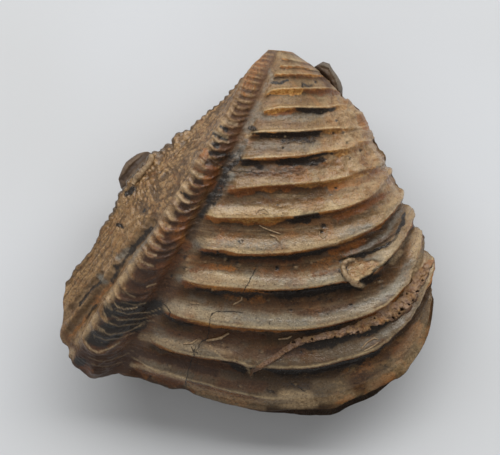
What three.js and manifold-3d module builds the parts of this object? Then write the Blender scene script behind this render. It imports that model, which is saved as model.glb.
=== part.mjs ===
// A fossil trigoniid clam: two closed, stone-filled valves, lying on the left one.
// Millimetres, +Z up. +Y runs from the ventral margin to the beak, +X from the rear of the shell
// to its front, and the origin lies on the table under the middle of the shell's outline.

import * as THREE from "three";
import { mergeVertices } from "three/addons/utils/BufferGeometryUtils.js";
import Module from "manifold-3d";

const wasm = await Module();
wasm.setup();

// ---- Driving dimensions ----------------------------------------------------------------------

// How far each valve stands out from the plane where the two meet.
const UPPER_DEPTH = 15;
const LOWER_DEPTH = 14.4;

// The plane where the valves meet: its height over the table at the origin, and its slopes.
const MEETING_HEIGHT = 13.6;
const SLOPE_TO_FRONT = -0.05;
const SLOPE_TO_BEAK = 0.13;
const VALVE_GAP = 0.32;

// Brings the middle of the finished outline over the origin.
const OUTLINE_SHIFT = [-0.27, -0.16];

// Guide lines of a valve seen square on, each from the beak to the margin, as [x, y].
const HINGE = [4.6, 27.4];
const INNER_CARINA = [
  [2.4, 28.2], [-0.7, 24.3], [-4.7, 19.9], [-9.8, 15.6],
  [-15.8, 11.2], [-20.3, 5.2], [-24.4, -1.6], [-28.8, -8.2],
];
const CARINA = [
  [3.4, 29], [0.5, 24.6], [-2.1, 19.1], [-6.1, 12.6],
  [-10.8, 5], [-16.6, -3.9], [-23.5, -13.8], [-28, -20.2],
];
const GROOVE = [
  [5, 29.2], [3.9, 26.4], [2.1, 22.4], [0, 17.4], [-3.2, 10.9],
  [-6.9, 3.8], [-10.9, -4.2], [-15.6, -12.9], [-20.6, -22.4],
];
const FRONT_EDGE = [
  [7.4, 28.7], [10.6, 26.4], [15.2, 21.8], [18.1, 18.9], [20.5, 14.4],
  [23.3, 8.8], [26.6, 2.8], [29, -3.6], [29.6, -10.8],
];

// How far the margin bows out past the straight lines between the guide lines' ends: along the
// belly, at the rear and at the corner below the carina. The lower lip juts out a little more.
const BELLY_BOW = 12.8;
const REAR_BOW = 1.3;
const CORNER_BOW = 2.2;
const LOWER_LIP = 0.9;

// Ribs, as shares of the way from the beak to the margin along the middle of the flank.
const RIBS = [
  0.023, 0.043, 0.065, 0.109, 0.16, 0.228, 0.298, 0.377, 0.462, 0.561, 0.663, 0.774, 0.881, 0.972,
];

// How far the ornament stands out: the flank's ribs, the carina and the bars on it, the beads of
// the rear area and the inner carina. The groove beside the carina is sunk by its depth.
const RIB_RELIEF = 1.25;
const CARINA_RELIEF = 1.4;
const BAR_RELIEF = 0.7;
const BEAD_RELIEF = 0.45;
const GROOVE_DEPTH = 0.6;
const INNER_RELIEF = 0.35;

// A shell grows as a spiral: this is its turn, in radians, for each e-fold of growth.
const GROWTH_TURN = 0.8;

// The inner carina's height, as a share of the carina's.
const INNER_HEIGHT = 0.38;

// The worm tube cemented across the lower ribs: its path from its thin tip to the front edge,
// and half its width at each point.
const WORM_TUBE = [
  [0.5, -22.8, 0.15], [3, -20.4, 0.45], [5.4, -19, 0.5], [9.4, -17.2, 0.7], [13.8, -16.6, 0.8],
  [19.5, -15.1, 0.95], [23.8, -12.4, 1], [26.9, -9.3, 0.9], [28.6, -6, 0.7],
];

// The raised rim of a healed chip in front, laid in the same way.
const SCAR_RIM = [
  [14.8, -4.6, 0.2], [15.1, -5.8, 0.45], [15.9, -7.1, 0.5], [17, -8.1, 0.45], [18.2, -8.8, 0.2],
];
const TUBE_SIDES = 6;

// Two dark lumps on the upper edge of the lower valve: centre, half sizes and turn in plan.
const FRONT_KNOB = { at: [13.1, 24.3], half: [3.1, 1.6, 2.6], turn: -52 };
const REAR_LOBE = { at: [-17.9, 10], half: [3.6, 1.9, 3], turn: 49 };

// ---- Lanes and rows of the grid --------------------------------------------------------------

// A lane is a place across the shell: -2 on the hinge line, -1 on the inner carina, 0 on the
// carina, 1 in the groove beside it and 2 on the front edge.
const AREA_LANES = [-0.88, -0.76, -0.64, -0.52, -0.4, -0.28, -0.14];
const FLANK_LANES = [
  1.06, 1.13, 1.22, 1.32, 1.42, 1.52, 1.61, 1.7, 1.78, 1.85, 1.9, 1.94, 1.975,
];
const LANES = [-2, -1.5, -1, ...AREA_LANES, 0, 0.25, 0.5, 0.75, 1, ...FLANK_LANES, 2];
const BEAK_CURLS = [1, 0.75, 0.5, 0.25];

// Heights of one rib's section, from its crest (0) down its steep face to the next crest (1).
const RIB_SECTION = [
  [0, 1], [0.13, 0.3], [0.2, 0.03], [0.48, 0.12], [0.7, 0.5], [0.88, 0.95], [1, 1],
];

const mix = (a, b, share) => a + (b - a) * share;

// A smooth curve through the points, as a function of the share of its length.
function guide(points) {
  const curve = new THREE.CatmullRomCurve3(points.map(([x, y]) => new THREE.Vector3(x, y, 0)));
  return (share) => curve.getPointAt(THREE.MathUtils.clamp(share, 0, 1));
}

const innerCarina = guide(INNER_CARINA);
const carina = guide(CARINA);
const groove = guide(GROOVE);
const frontEdge = guide(FRONT_EDGE);

// Straight-line reading of a table of [place, value] pairs.
function readTable(table, place) {
  const next = Math.max(1, table.findIndex(([at]) => at >= place));
  const [fromPlace, fromValue] = table[next - 1];
  const [toPlace, toValue] = table[next];
  return mix(fromValue, toValue, (place - fromPlace) / (toPlace - fromPlace));
}

// Share of the full depth that the shell has at a share of the way from beak to margin.
function spiralDepth(way) {
  let young = Math.exp(-Math.PI / 2 / GROWTH_TURN);
  let old = 1;
  for (let step = 0; step < 30; step += 1) {
    const size = (young + old) / 2;
    if (size * Math.cos(GROWTH_TURN * Math.log(1 / size)) < way) young = size;
    else old = size;
  }
  const widest = Math.exp(-Math.atan(GROWTH_TURN) / GROWTH_TURN) * Math.sin(Math.atan(GROWTH_TURN));
  return (young * Math.sin(GROWTH_TURN * Math.log(1 / young))) / widest;
}

// How far a growth line bows out between the groove (0) and the front edge (1).
function bowShape(share) {
  const turn = 0.65;
  if (share < turn) return 1 - ((turn - share) / turn) ** 1.6;
  return (1 - ((share - turn) / (1 - turn)) ** 2.6) ** (1 / 2.6);
}

// The valve's smooth form in its own frame: x, y and the height over the meeting plane.
function smoothPoint(way, lane, valve) {
  const depth = valve.depth * spiralDepth(way);
  const atInner = innerCarina(way ** 0.85);
  const atCarina = carina(way ** 0.88);
  const atGroove = groove(way ** 0.88);
  if (lane <= -1) {
    const inward = lane + 2;
    const hingeLine = atInner.clone().add(new THREE.Vector3(1.5, -1.6, 0).multiplyScalar(1 - way));
    return hingeLine.lerp(atInner, inward).setZ(INNER_HEIGHT * depth * inward);
  }
  if (lane <= 0) {
    const across = lane + 1;
    const bow = REAR_BOW * way ** 2 * Math.sin(Math.PI * across);
    const dish = 0.05 * Math.sin(Math.PI * across);
    const height = depth * (mix(INNER_HEIGHT, 1, across) - dish);
    return atInner.lerp(atCarina, across).add(new THREE.Vector3(-bow, 0, 0)).setZ(height);
  }
  if (lane <= 1) {
    const bow = CORNER_BOW * way ** 3 * Math.sin(Math.PI * lane);
    const height = depth * mix(1, 0.95, lane);
    return atCarina.lerp(atGroove, lane).add(new THREE.Vector3(0, -bow, 0)).setZ(height);
  }
  const across = lane - 1;
  const jut = Math.sin(Math.PI * THREE.MathUtils.clamp((across - 0.36) / 0.52, 0, 1)) ** 2;
  const bow = BELLY_BOW * way ** 1.85 * bowShape(across) + valve.lip * way ** 8 * jut;
  const roundOff = (1 - across ** 2.5) ** (1 / 2.2);
  const rise = 0.95 + 0.07 * Math.sin(Math.PI * Math.min(1, across * 1.6));
  const atFront = frontEdge(way ** 0.62);
  return atGroove.lerp(atFront, across).add(new THREE.Vector3(0, -bow, 0)).setZ(depth * rise * roundOff);
}

// Where a row lies between two ribs, from 0 on a crest to 1 on the next one.
function ribPhase(way) {
  const next = RIBS.findIndex((rib) => rib > way);
  if (next === 0) return 0.4 + (0.6 * way) / RIBS[0];
  if (next < 0) return (way - RIBS.at(-1)) / (1.1 - RIBS.at(-1));
  return (way - RIBS[next - 1]) / (RIBS[next] - RIBS[next - 1]);
}

// How far the ornament stands out from the smooth form.
function relief(row, lane) {
  const size = Math.min(1, 0.3 + 0.9 * row.way) * Math.min(1, (1 - row.way) * 14);
  const grown = Math.min(1, 0.1 + 6 * row.way);
  if (lane < -1) return 0;
  if (lane === -1) return INNER_RELIEF * size;
  if (lane < 0) {
    const ridge = AREA_LANES.indexOf(lane) % 2 === 1 ? 1 : -0.6;
    return BEAD_RELIEF * size * ridge * (row.onBar ? 1 : 0.3);
  }
  if (lane < 1) {
    const bar = row.onBar ? BAR_RELIEF : 0;
    return size * grown * (CARINA_RELIEF * (1 - lane) + bar * (1 - lane ** 2));
  }
  const rib = RIB_RELIEF * readTable(RIB_SECTION, ribPhase(row.way));
  const start = Math.min(1, (lane - 1) / 0.06);
  return size * mix(-GROOVE_DEPTH * grown, rib, start);
}

// ---- Grid to solid ---------------------------------------------------------------------------

// Rows follow the ribs, a few to each, so that every crest and trough has its own row.
function growthRows(phases) {
  const rows = BEAK_CURLS.map((curl) => ({ way: 0, curl, onBar: false }));
  const stops = [0, ...RIBS, 1];
  let count = 0;
  for (let rib = 0; rib + 1 < stops.length; rib += 1) {
    const wanted = rib === 0 ? [0] : rib + 2 === stops.length ? [0, 0.45] : phases;
    for (const phase of wanted) {
      rows.push({ way: mix(stops[rib], stops[rib + 1], phase), curl: 0, onBar: count % 2 === 0 });
      count += 1;
    }
  }
  rows.push({ way: 1, curl: 0, onBar: false });
  return rows;
}

// A curled row is drawn in from the beak towards the hinge and down to the meeting plane.
function gridPoint(row, lane, valve) {
  const point = smoothPoint(row.way, lane, valve);
  const hinge = new THREE.Vector3(HINGE[0], HINGE[1], 0);
  const height = point.z * (1 - row.curl);
  return point.lerp(hinge, row.curl ** 2).setZ(height);
}

function ornamentedGrid(rows, valve) {
  const smooth = rows.map((row) => LANES.map((lane) => gridPoint(row, lane, valve)));
  return rows.map((row, r) => LANES.map((lane, c) => {
    const below = smooth[Math.min(r + 1, rows.length - 1)][c];
    const above = smooth[Math.max(r - 1, 0)][c];
    const ahead = smooth[r][Math.min(c + 1, LANES.length - 1)];
    const behind = smooth[r][Math.max(c - 1, 0)];
    const outward = below.clone().sub(above).cross(ahead.clone().sub(behind)).normalize();
    if (outward.lengthSq() < 0.5 || row.curl > 0) return smooth[r][c];
    const onPlane = smooth[r][c].z < 1e-6;
    const point = smooth[r][c].clone().addScaledVector(outward, relief(row, lane));
    return onPlane ? point.setZ(0) : point;
  }));
}

// Closes the grid with the flat face on the meeting plane.
function valveTriangles(grid) {
  const triangles = [];
  const lastLane = LANES.length - 1;
  for (let r = 0; r + 1 < grid.length; r += 1) {
    for (let c = 0; c < lastLane; c += 1) {
      triangles.push([grid[r][c], grid[r + 1][c], grid[r + 1][c + 1]]);
      triangles.push([grid[r][c], grid[r + 1][c + 1], grid[r][c + 1]]);
    }
  }
  const rim = [
    grid[0][0],
    ...grid.slice(1).map((row) => row[0]),
    ...grid.at(-1).slice(1),
    ...grid.slice(1, -1).reverse().map((row) => row[lastLane]),
  ];
  const flat = rim.map((point) => new THREE.Vector2(point.x, point.y));
  for (const [a, b, c] of THREE.ShapeUtils.triangulateShape(flat, [])) {
    triangles.push([rim[a], rim[c], rim[b]]);
  }
  return triangles;
}

function meetingHeight(x, y) {
  return MEETING_HEIGHT + SLOPE_TO_FRONT * x + SLOPE_TO_BEAK * y;
}

function shifted(x, y, z) {
  return new THREE.Vector3(x + OUTLINE_SHIFT[0], y + OUTLINE_SHIFT[1], z);
}

// Sets a valve on its side of the meeting plane. What would reach below the table is worn flat.
function placed(point, side) {
  const height = meetingHeight(point.x, point.y) + side * (point.z + VALVE_GAP / 2);
  return shifted(point.x, point.y, Math.max(0, height));
}

function solidOf(geometry) {
  const bare = geometry.index ? geometry.toNonIndexed() : geometry.clone();
  bare.deleteAttribute("normal");
  bare.deleteAttribute("uv");
  const joined = mergeVertices(bare, 1e-4);
  const kept = [];
  for (let i = 0; i < joined.index.count; i += 3) {
    const corner = [0, 1, 2].map((k) => joined.index.getX(i + k));
    if (new Set(corner).size === 3) kept.push(...corner);
  }
  return new wasm.Manifold(new wasm.Mesh({
    numProp: 3,
    vertProperties: joined.attributes.position.array,
    triVerts: new Uint32Array(kept),
  }));
}

function geometryOf(solid) {
  const mesh = solid.getMesh();
  const geometry = new THREE.BufferGeometry();
  geometry.setAttribute("position", new THREE.BufferAttribute(new Float32Array(mesh.vertProperties), 3));
  geometry.setIndex(new THREE.BufferAttribute(new Uint32Array(mesh.triVerts), 1));
  const faceted = geometry.toNonIndexed();
  faceted.computeVertexNormals();
  return faceted;
}

function valveSolid(valve) {
  const grid = ornamentedGrid(growthRows(valve.phases), valve);
  const places = new Map();
  const move = (point) => {
    if (!places.has(point)) places.set(point, placed(point, valve.side));
    return places.get(point);
  };
  const corners = valveTriangles(grid).flatMap(([a, b, c]) => {
    const order = valve.side > 0 ? [a, b, c] : [a, c, b];
    return order.map(move);
  });
  return solidOf(new THREE.BufferGeometry().setFromPoints(corners));
}

// The highest point of a solid over a place in plan.
function topOf(geometry, x, y) {
  const wellAbove = 100;
  const caster = new THREE.Raycaster(shifted(x, y, wellAbove), new THREE.Vector3(0, 0, -1));
  return caster.intersectObject(new THREE.Mesh(geometry))[0].point;
}

// A tapered tube laid along a solid, half sunk into it. Each point of its path gives x, y and
// half the width there.
function laidTube(path, geometry) {
  const centres = path.map(([x, y]) => topOf(geometry, x, y));
  const rings = centres.map((centre, k) => {
    const next = centres[Math.min(k + 1, centres.length - 1)];
    const ahead = next.clone().sub(centres[Math.max(k - 1, 0)]);
    const sideways = new THREE.Vector3(ahead.y, -ahead.x, 0).normalize();
    const upright = sideways.clone().cross(ahead).normalize();
    return Array.from({ length: TUBE_SIDES }, (unused, side) => {
      const turn = (2 * Math.PI * side) / TUBE_SIDES;
      const half = path[k][2];
      return centre.clone()
        .addScaledVector(sideways, half * Math.cos(turn))
        .addScaledVector(upright, 0.8 * half * Math.sin(turn));
    });
  });
  const corners = [];
  for (let side = 0; side < TUBE_SIDES; side += 1) {
    const next = (side + 1) % TUBE_SIDES;
    for (let k = 0; k + 1 < rings.length; k += 1) {
      corners.push(rings[k][side], rings[k + 1][side], rings[k + 1][next]);
      corners.push(rings[k][side], rings[k + 1][next], rings[k][next]);
    }
    corners.push(centres[0], rings[0][side], rings[0][next]);
    corners.push(centres.at(-1), rings.at(-1)[next], rings.at(-1)[side]);
  }
  return solidOf(new THREE.BufferGeometry().setFromPoints(corners));
}

// A rounded lump on the lower valve, cut off level with its meeting face.
function lump({ at, half, turn }) {
  const ball = new THREE.SphereGeometry(1, 12, 8);
  ball.scale(...half);
  ball.rotateZ(THREE.MathUtils.degToRad(turn));
  const places = ball.attributes.position;
  for (let i = 0; i < places.count; i += 1) {
    const x = places.getX(i) + at[0];
    const y = places.getY(i) + at[1];
    const face = meetingHeight(x, y) - VALVE_GAP / 2;
    const height = Math.min(face, face - 0.5 * half[2] + places.getZ(i));
    places.setXYZ(i, ...shifted(x, y, height));
  }
  return solidOf(ball);
}

const UPPER = { depth: UPPER_DEPTH, lip: 0, side: 1, phases: [0, 0.16, 0.4, 0.64, 0.88] };
const LOWER = { depth: LOWER_DEPTH, lip: LOWER_LIP, side: -1, phases: [0, 0.2, 0.55, 0.88] };

function rightValve() {
  const bare = valveSolid(UPPER);
  const surface = geometryOf(bare);
  return bare.add(laidTube(WORM_TUBE, surface)).add(laidTube(SCAR_RIM, surface));
}

function leftValve() {
  return valveSolid(LOWER).add(lump(FRONT_KNOB)).add(lump(REAR_LOBE));
}

function stone(color) {
  return new THREE.MeshStandardMaterial({ color, roughness: 0.6, metalness: 0 });
}

function named(name, solid, color) {
  const mesh = new THREE.Mesh(geometryOf(solid), stone(color));
  mesh.name = name;
  return mesh;
}

const shell = new THREE.Group();
shell.add(named("right_valve", rightValve(), 0x8a6a4a));
shell.add(named("left_valve", leftValve(), 0x66503c));

export default shell;
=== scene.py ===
import math

import bpy
import numpy as np
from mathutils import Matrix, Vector
from mathutils.bvhtree import BVHTree


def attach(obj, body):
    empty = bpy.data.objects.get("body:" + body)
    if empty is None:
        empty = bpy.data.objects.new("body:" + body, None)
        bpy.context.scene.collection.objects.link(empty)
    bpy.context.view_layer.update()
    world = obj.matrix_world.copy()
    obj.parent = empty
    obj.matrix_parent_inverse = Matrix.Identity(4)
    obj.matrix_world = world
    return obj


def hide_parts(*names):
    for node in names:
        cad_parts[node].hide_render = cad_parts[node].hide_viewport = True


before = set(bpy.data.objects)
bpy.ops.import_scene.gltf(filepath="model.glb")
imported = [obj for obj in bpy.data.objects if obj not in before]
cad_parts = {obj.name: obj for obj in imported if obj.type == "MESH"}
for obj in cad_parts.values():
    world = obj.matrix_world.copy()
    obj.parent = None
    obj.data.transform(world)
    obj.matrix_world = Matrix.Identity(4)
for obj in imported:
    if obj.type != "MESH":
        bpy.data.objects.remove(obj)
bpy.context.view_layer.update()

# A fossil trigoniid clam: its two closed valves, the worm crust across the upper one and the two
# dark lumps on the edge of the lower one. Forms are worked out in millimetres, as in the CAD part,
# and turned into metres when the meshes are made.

METRES = 0.001


def groups(text):
    """Groups of numbers from a table: spaces part the groups and commas the numbers in one."""
    return [tuple(float(number) for number in group.split(",")) for group in text.split()]


def group_rows(text):
    """Lists of groups: semicolons part the lists."""
    return [groups(row) for row in text.split(";")]


# ---- The picture's frame -----------------------------------------------------------------------
# Marks are given in pixels of the picture. The camera looks straight down.

PICTURE_SIZE = (500, 455)
PICTURE_MIDDLE = (PICTURE_SIZE[0] / 2, PICTURE_SIZE[1] / 2)
PIXEL = 0.16                     # millimetres to a pixel at the height of the shell's margin
PICTURE_ORIGIN = (248.7, 231.5)  # the pixel over the frame's origin
CAMERA_DISTANCE = 1200           # millimetres above the margin
MARGIN_HEIGHT = 15


def under_pixel(px, py):
    """The point at margin height, in millimetres, that lies under a pixel."""
    return (px - PICTURE_ORIGIN[0]) * PIXEL, (PICTURE_ORIGIN[1] - py) * PIXEL


CAMERA_PLACE = (*under_pixel(*PICTURE_MIDDLE), MARGIN_HEIGHT + CAMERA_DISTANCE)


def seen_at(points):
    """The pixels at which the camera sees points given in millimetres."""
    nearer = CAMERA_DISTANCE / (CAMERA_DISTANCE - (points[..., 2] - MARGIN_HEIGHT)) / PIXEL
    px = PICTURE_MIDDLE[0] + (points[..., 0] - CAMERA_PLACE[0]) * nearer
    py = PICTURE_MIDDLE[1] - (points[..., 1] - CAMERA_PLACE[1]) * nearer
    return np.stack([px, py], -1)


# ---- Driving dimensions, as in the CAD part ----------------------------------------------------

UPPER_DEPTH = 15
LOWER_DEPTH = 14.4
MEETING_HEIGHT = 13.6
SLOPE_TO_FRONT = -0.05
SLOPE_TO_BEAK = 0.13
VALVE_GAP = 0.32
OUTLINE_SHIFT = (-0.27, -0.16)
HINGE = (4.6, 27.4)
BELLY_BOW = 12.8
REAR_BOW = 1.3
CORNER_BOW = 0.27       # of the distance from the carina to the groove
LOWER_LIP = 0.9
GROWTH_TURN = 0.8
INNER_HEIGHT = 0.38
RIB_RELIEF = 1.3
CARINA_RELIEF = 1.3
BAR_RELIEF = 0.5
BEAD_RELIEF = 0.3
GROOVE_DEPTH = 0.55
INNER_RELIEF = 0.3

# ---- Traced lines, as pixels x,y ---------------------------------------------------------------

# The outline of the upper valve, clockwise from the beak.
OUTLINE = groups("""
269,51 272,49.5 282,51 294,55 301,59 310,63 316,68 322,75 331,83 340,91 343,97.5 349,100.5 354,105
360,111 365,119 369.5,130 374,137 376,142.5 380,149 383,153 385.5,157 385.5,163 388,166 393,168
393,173 397,183 400,187 403,190 404,194.5 403,202 408,204 412.5,209 415,215 414,226 418,228.5
422,232.5 425,236 425.5,241 424.5,249 430,254.5 434.5,259 433.5,268 432,277 431,285 433,299 430,321
429,331 421,348 416,357 407,369 404,375.5 399.5,376.5 390.5,381 378,388 369,392.5 349,400 342,405
333,409 310,409.7 288,409.7 270,411 264.5,410.5 256,410 243,407 225,403.5 200,396 189,391 184,387
177,389 170,388.5 160,384 148.5,381 139.5,378 127,376 118,373 112,373.5 101,377 92,378.5 87,375
83,372 79.5,369 74,363 69,359 68,353.5 71,349 67,345.5 61,340 59.6,334 62,327.5 63.6,318 64,308
62.5,302.5 64.5,297 64.7,292 67.6,288 65,282 70,276.5 74,269 80,263.5 84,258 90,251 96.5,242
100,231.5 103,226 110,217 115,206.5 119,196 123,188 130,179 139,168 150,155 155.5,152 162,150
164,146.5 167,143.5 172,143.5 173,139.5 175,135.5 180,133 189.5,129.5 198.5,120.5 204,116 210,110
217,106 222.5,100 228,94.5 232,90 236,86 240,80 243.5,76.5 249,70.5 255.5,62.5 258,59 263,54.5
269,51
""")
# The sharp crest of each rib, from its end at the groove to the front edge.
RIB_CRESTS = group_rows("""
281,57 294,58 303,60;
279,65 290,65 302,65 312,68;
273,74 285,73.5 300,73.5 318,74 325,76 331,81;
265,94 271,90 285,88.5 306,88.5 336,89 341,90.5;
262,111 276,108 300,107 330,107 340,104;
250,133 264,132 300,131.5 324,129 345,128;
240,159 264,158 300,156 324,151.5 348,148.5 361,141;
227,189.5 264,186 300,184 324,181.5 348,176.5 368,168.5;
203,215 217,218 258,218 300,216 325,211.5 342,209 359,202.5 371,197 380,190 389,175;
198,248 203,250 222,250 240,254 288,253 320,247 337,243 359,235 382,223 396,209 403,198;
178,281 186,283 222,287 270,290 303,288.5 325,285 343,281.5 358,282 371,275 382,266.5 391,257
398,248.5 405,238 410,229 413,222 415,217;
161,313 168,315.5 178,318 198,321.5 216,325.5 252,328.5 288,330.5 317,328.5 351,320.5 371,313.5
387,305 403,289 410,282 415,266 417,255 421,246 425,238;
147,343 156,346.5 175,352.5 197,357 234,362 250,368 272,368.5 306,369 342,361 360,356.5 378,349.5
389,340.5 400,329.5 412,317 421,301 428,285;
129,364 163,374.5 180,380 207,386.5 252,398 285,403
""")
SHORT_RIB = groups("340,260 359,254 370,249.5 382,244 393,236 402,227.5 407,218")
# The upper ends of the bars along the crest of the carina.
BAR_ENDS = groups("""
266,53 262,57 259,61.5 256,66 252,71 249,75.5 246,80.5 243,86 239,92 236.5,98 234,104 231.5,110
228,116 224,122 219,130 214,138 209,146 205,153 198,162 192,172 187,180 182,187 178,196 171.5,204
165,212.5 158.5,222 152.5,232 146.5,241 144,251 136,261 129,271 120,283 115,291.5 108,301 101,311
94,324 83,341 76,354
""")

# ---- Small helpers on arrays -------------------------------------------------------------------


def mix(a, b, share):
    """a for a share of 0, b for a share of 1."""
    return a + (b - a) * share


def ease(low, high, value):
    """0 below low, 1 above high and smooth between them. low may be the greater."""
    share = np.clip((value - low) / (high - low), 0, 1)
    return share * share * (3 - 2 * share)


def hill(value, centre, half):
    """1 at the centre, falling smoothly to 0 at half each way."""
    return ease(1, 0, np.abs(value - centre) / half)


def unit(vectors):
    """The vectors along the last axis, each made one long."""
    return vectors / np.maximum(np.linalg.norm(vectors, axis=-1, keepdims=True), 1e-9)


def lattice(ix, iy, seed):
    """A fixed random number from 0 to 1 for each whole place."""
    bits = ix.astype(np.int64) * 374761393 + iy.astype(np.int64) * 668265263 + seed * 982451653
    bits &= 0xFFFFFFFF
    bits = ((bits ^ (bits >> 13)) * 1274126177) & 0xFFFFFFFF
    return ((bits ^ (bits >> 16)) & 0xFFFF) / 65535


def noise(x, y, seed):
    """Smooth noise from -1 to 1 with one swell to each unit."""
    x, y = np.broadcast_arrays(np.asarray(x, float), np.asarray(y, float))
    ix, iy = np.floor(x), np.floor(y)
    fx, fy = x - ix, y - iy
    fx, fy = fx * fx * (3 - 2 * fx), fy * fy * (3 - 2 * fy)
    low = mix(lattice(ix, iy, seed), lattice(ix + 1, iy, seed), fx)
    high = mix(lattice(ix, iy + 1, seed), lattice(ix + 1, iy + 1, seed), fx)
    return 2 * mix(low, high, fy) - 1


def rough(x, y, seed):
    """Noise with two finer and fainter kinds on top of it."""
    total = 0
    for octave in range(3):
        finer = 2.03 ** octave
        total = total + noise(x * finer, y * finer, seed + octave) * 0.5 ** octave
    return total


def pits(x, y, seed, smallest, largest):
    """1 in the middle of scattered round pits, one to each unit square, and 0 away from them."""
    ix, iy = np.floor(x), np.floor(y)
    deepest = np.zeros(np.broadcast(x, y).shape)
    for ox in (-1, 0, 1):
        for oy in (-1, 0, 1):
            jx, jy = ix + ox, iy + oy
            away = np.hypot(x - jx - lattice(jx, jy, seed), y - jy - lattice(jx, jy, seed + 1))
            size = mix(smallest, largest, lattice(jx, jy, seed + 2))
            deepest = np.maximum(deepest, ease(size, size * 0.3, away))
    return deepest


def section(text, width):
    """A smooth, repeating reading of place,height groups from 0 to 1, blurred over the width."""
    places, heights = np.array(groups(text)).T
    fine = np.linspace(0, 1, 801)
    read = np.interp(fine, places, heights)
    reach = int(width / (fine[1] - fine[0]))
    window = np.hanning(2 * reach + 3)
    read = np.concatenate([read[-reach - 2:-1], read, read[1:reach + 2]])
    smooth = np.convolve(read, window / window.sum(), "valid")
    return lambda value: np.interp(value, fine, smooth[:len(fine)])


def blur(values, reach):
    """A running mean along the first axis."""
    padded = np.concatenate([values[:1].repeat(reach, 0), values, values[-1:].repeat(reach, 0)])
    total = np.cumsum(np.concatenate([np.zeros_like(padded[:1]), padded]), 0)
    return (total[2 * reach + 1:] - total[:-2 * reach - 1]) / (2 * reach + 1)


def measured(line):
    """How far each point of a line is from its start, along the line."""
    steps = np.linalg.norm(np.diff(line, axis=0), axis=1)
    return np.concatenate([[0], np.cumsum(steps)])


def read_line(line, at, length):
    """The points at distances along a line, for all its columns."""
    return np.stack([np.interp(at, length, column) for column in line.T], -1)


def stroke_distance(px, py, stroke):
    """Distance to a line through pixels, signed: negative on its left as it is followed."""
    nearest = np.full(px.shape, 1e9)
    side = np.ones(px.shape)
    for (ax, ay), (bx, by) in zip(stroke[:-1], stroke[1:]):
        dx, dy = bx - ax, by - ay
        along = np.clip(((px - ax) * dx + (py - ay) * dy) / (dx * dx + dy * dy), 0, 1)
        away = np.hypot(px - ax - along * dx, py - ay - along * dy)
        closer = away < nearest
        nearest = np.where(closer, away, nearest)
        side = np.where(closer, np.where(dx * (py - ay) - dy * (px - ax) < 0, -1, 1), side)
    return nearest * side


def strokes_mask(px, py, strokes, seed, ragged=1.5):
    """The cover of listed strokes: rows of (half width, strength) and then the points."""
    wx = px + ragged * rough(px / 7, py / 7, seed)
    wy = py + ragged * rough(px / 7, py / 7, seed + 50)
    mask = np.zeros(px.shape)
    for (half, strength), *points in strokes:
        away = np.abs(stroke_distance(wx, wy, points))
        mask = np.maximum(mask, strength * ease(1.5, 0.4, away / half))
    return mask


# ---- The form of a valve -----------------------------------------------------------------------


def guide(text):
    """A smooth centripetal curve through points in millimetres, read by the share of its length."""
    p = np.array(groups(text))
    p = np.vstack([2 * p[0] - p[1], p, 2 * p[-1] - p[-2]])
    places = []
    t = np.linspace(0, 1, 40, endpoint=False)[:, None]
    for a, b, c, d in zip(p[:-3], p[1:-2], p[2:-1], p[3:]):
        before, here, after = (max(1e-4, np.linalg.norm(v)) ** 0.5 for v in (b - a, c - b, d - c))
        leave = ((b - a) / before - (c - a) / (before + here) + (c - b) / here) * here
        arrive = ((c - b) / here - (d - b) / (here + after) + (d - c) / after) * here
        curve = b + leave * t + (-3 * b + 3 * c - 2 * leave - arrive) * t ** 2
        places.append(curve + (2 * b - 2 * c + leave + arrive) * t ** 3)
    line = np.vstack(places + [p[-2:-1]])
    length = measured(line)
    share = length / length[-1]
    return lambda at: read_line(line, at, share)


inner_carina = guide("""
2.4,28.2 -0.7,24.3 -4.7,19.9 -9.8,15.6 -15.8,11.2 -20.3,5.2 -24.4,-1.6 -28.8,-8.2
""")
carina = guide("""
3.4,29 0.5,24.6 -2.1,19.1 -6.1,12.6 -10.8,5 -16.6,-3.9 -23.5,-13.8 -28,-20.2
""")
groove = guide("""
5,28.9 3.9,26.3 2.1,22.4 0,17.4 -3.2,10.9 -6.9,3.8 -10.9,-4.2 -15.6,-12.9 -20.6,-22.4
""")
front_edge = guide("""
7.4,28.7 10.6,26.4 15.2,21.8 18.1,18.9 20.5,14.4 23.3,8.8 26.6,2.8 29,-3.6 29.6,-10.8
""")


def spiral_depth(way):
    """Share of the full depth at a share of the way from the beak to the margin."""
    size = np.linspace(math.exp(-math.pi / 2 / GROWTH_TURN), 1, 2001)
    turn = GROWTH_TURN * np.log(1 / size)
    widest = math.exp(-math.atan(GROWTH_TURN) / GROWTH_TURN) * math.sin(math.atan(GROWTH_TURN))
    return np.interp(way, size * np.cos(turn), size * np.sin(turn) / widest)


def bow_shape(share):
    """How far the belly bows out, rising to 1 at the turn and falling steeply after it."""
    turn = 0.65
    rising = 1 - (np.clip((turn - share) / turn, 0, 1)) ** 1.6
    falling = (1 - np.clip((share - turn) / (1 - turn), 0, 1) ** 2.6) ** (1 / 2.6)
    return np.where(share < turn, rising, falling)


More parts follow.
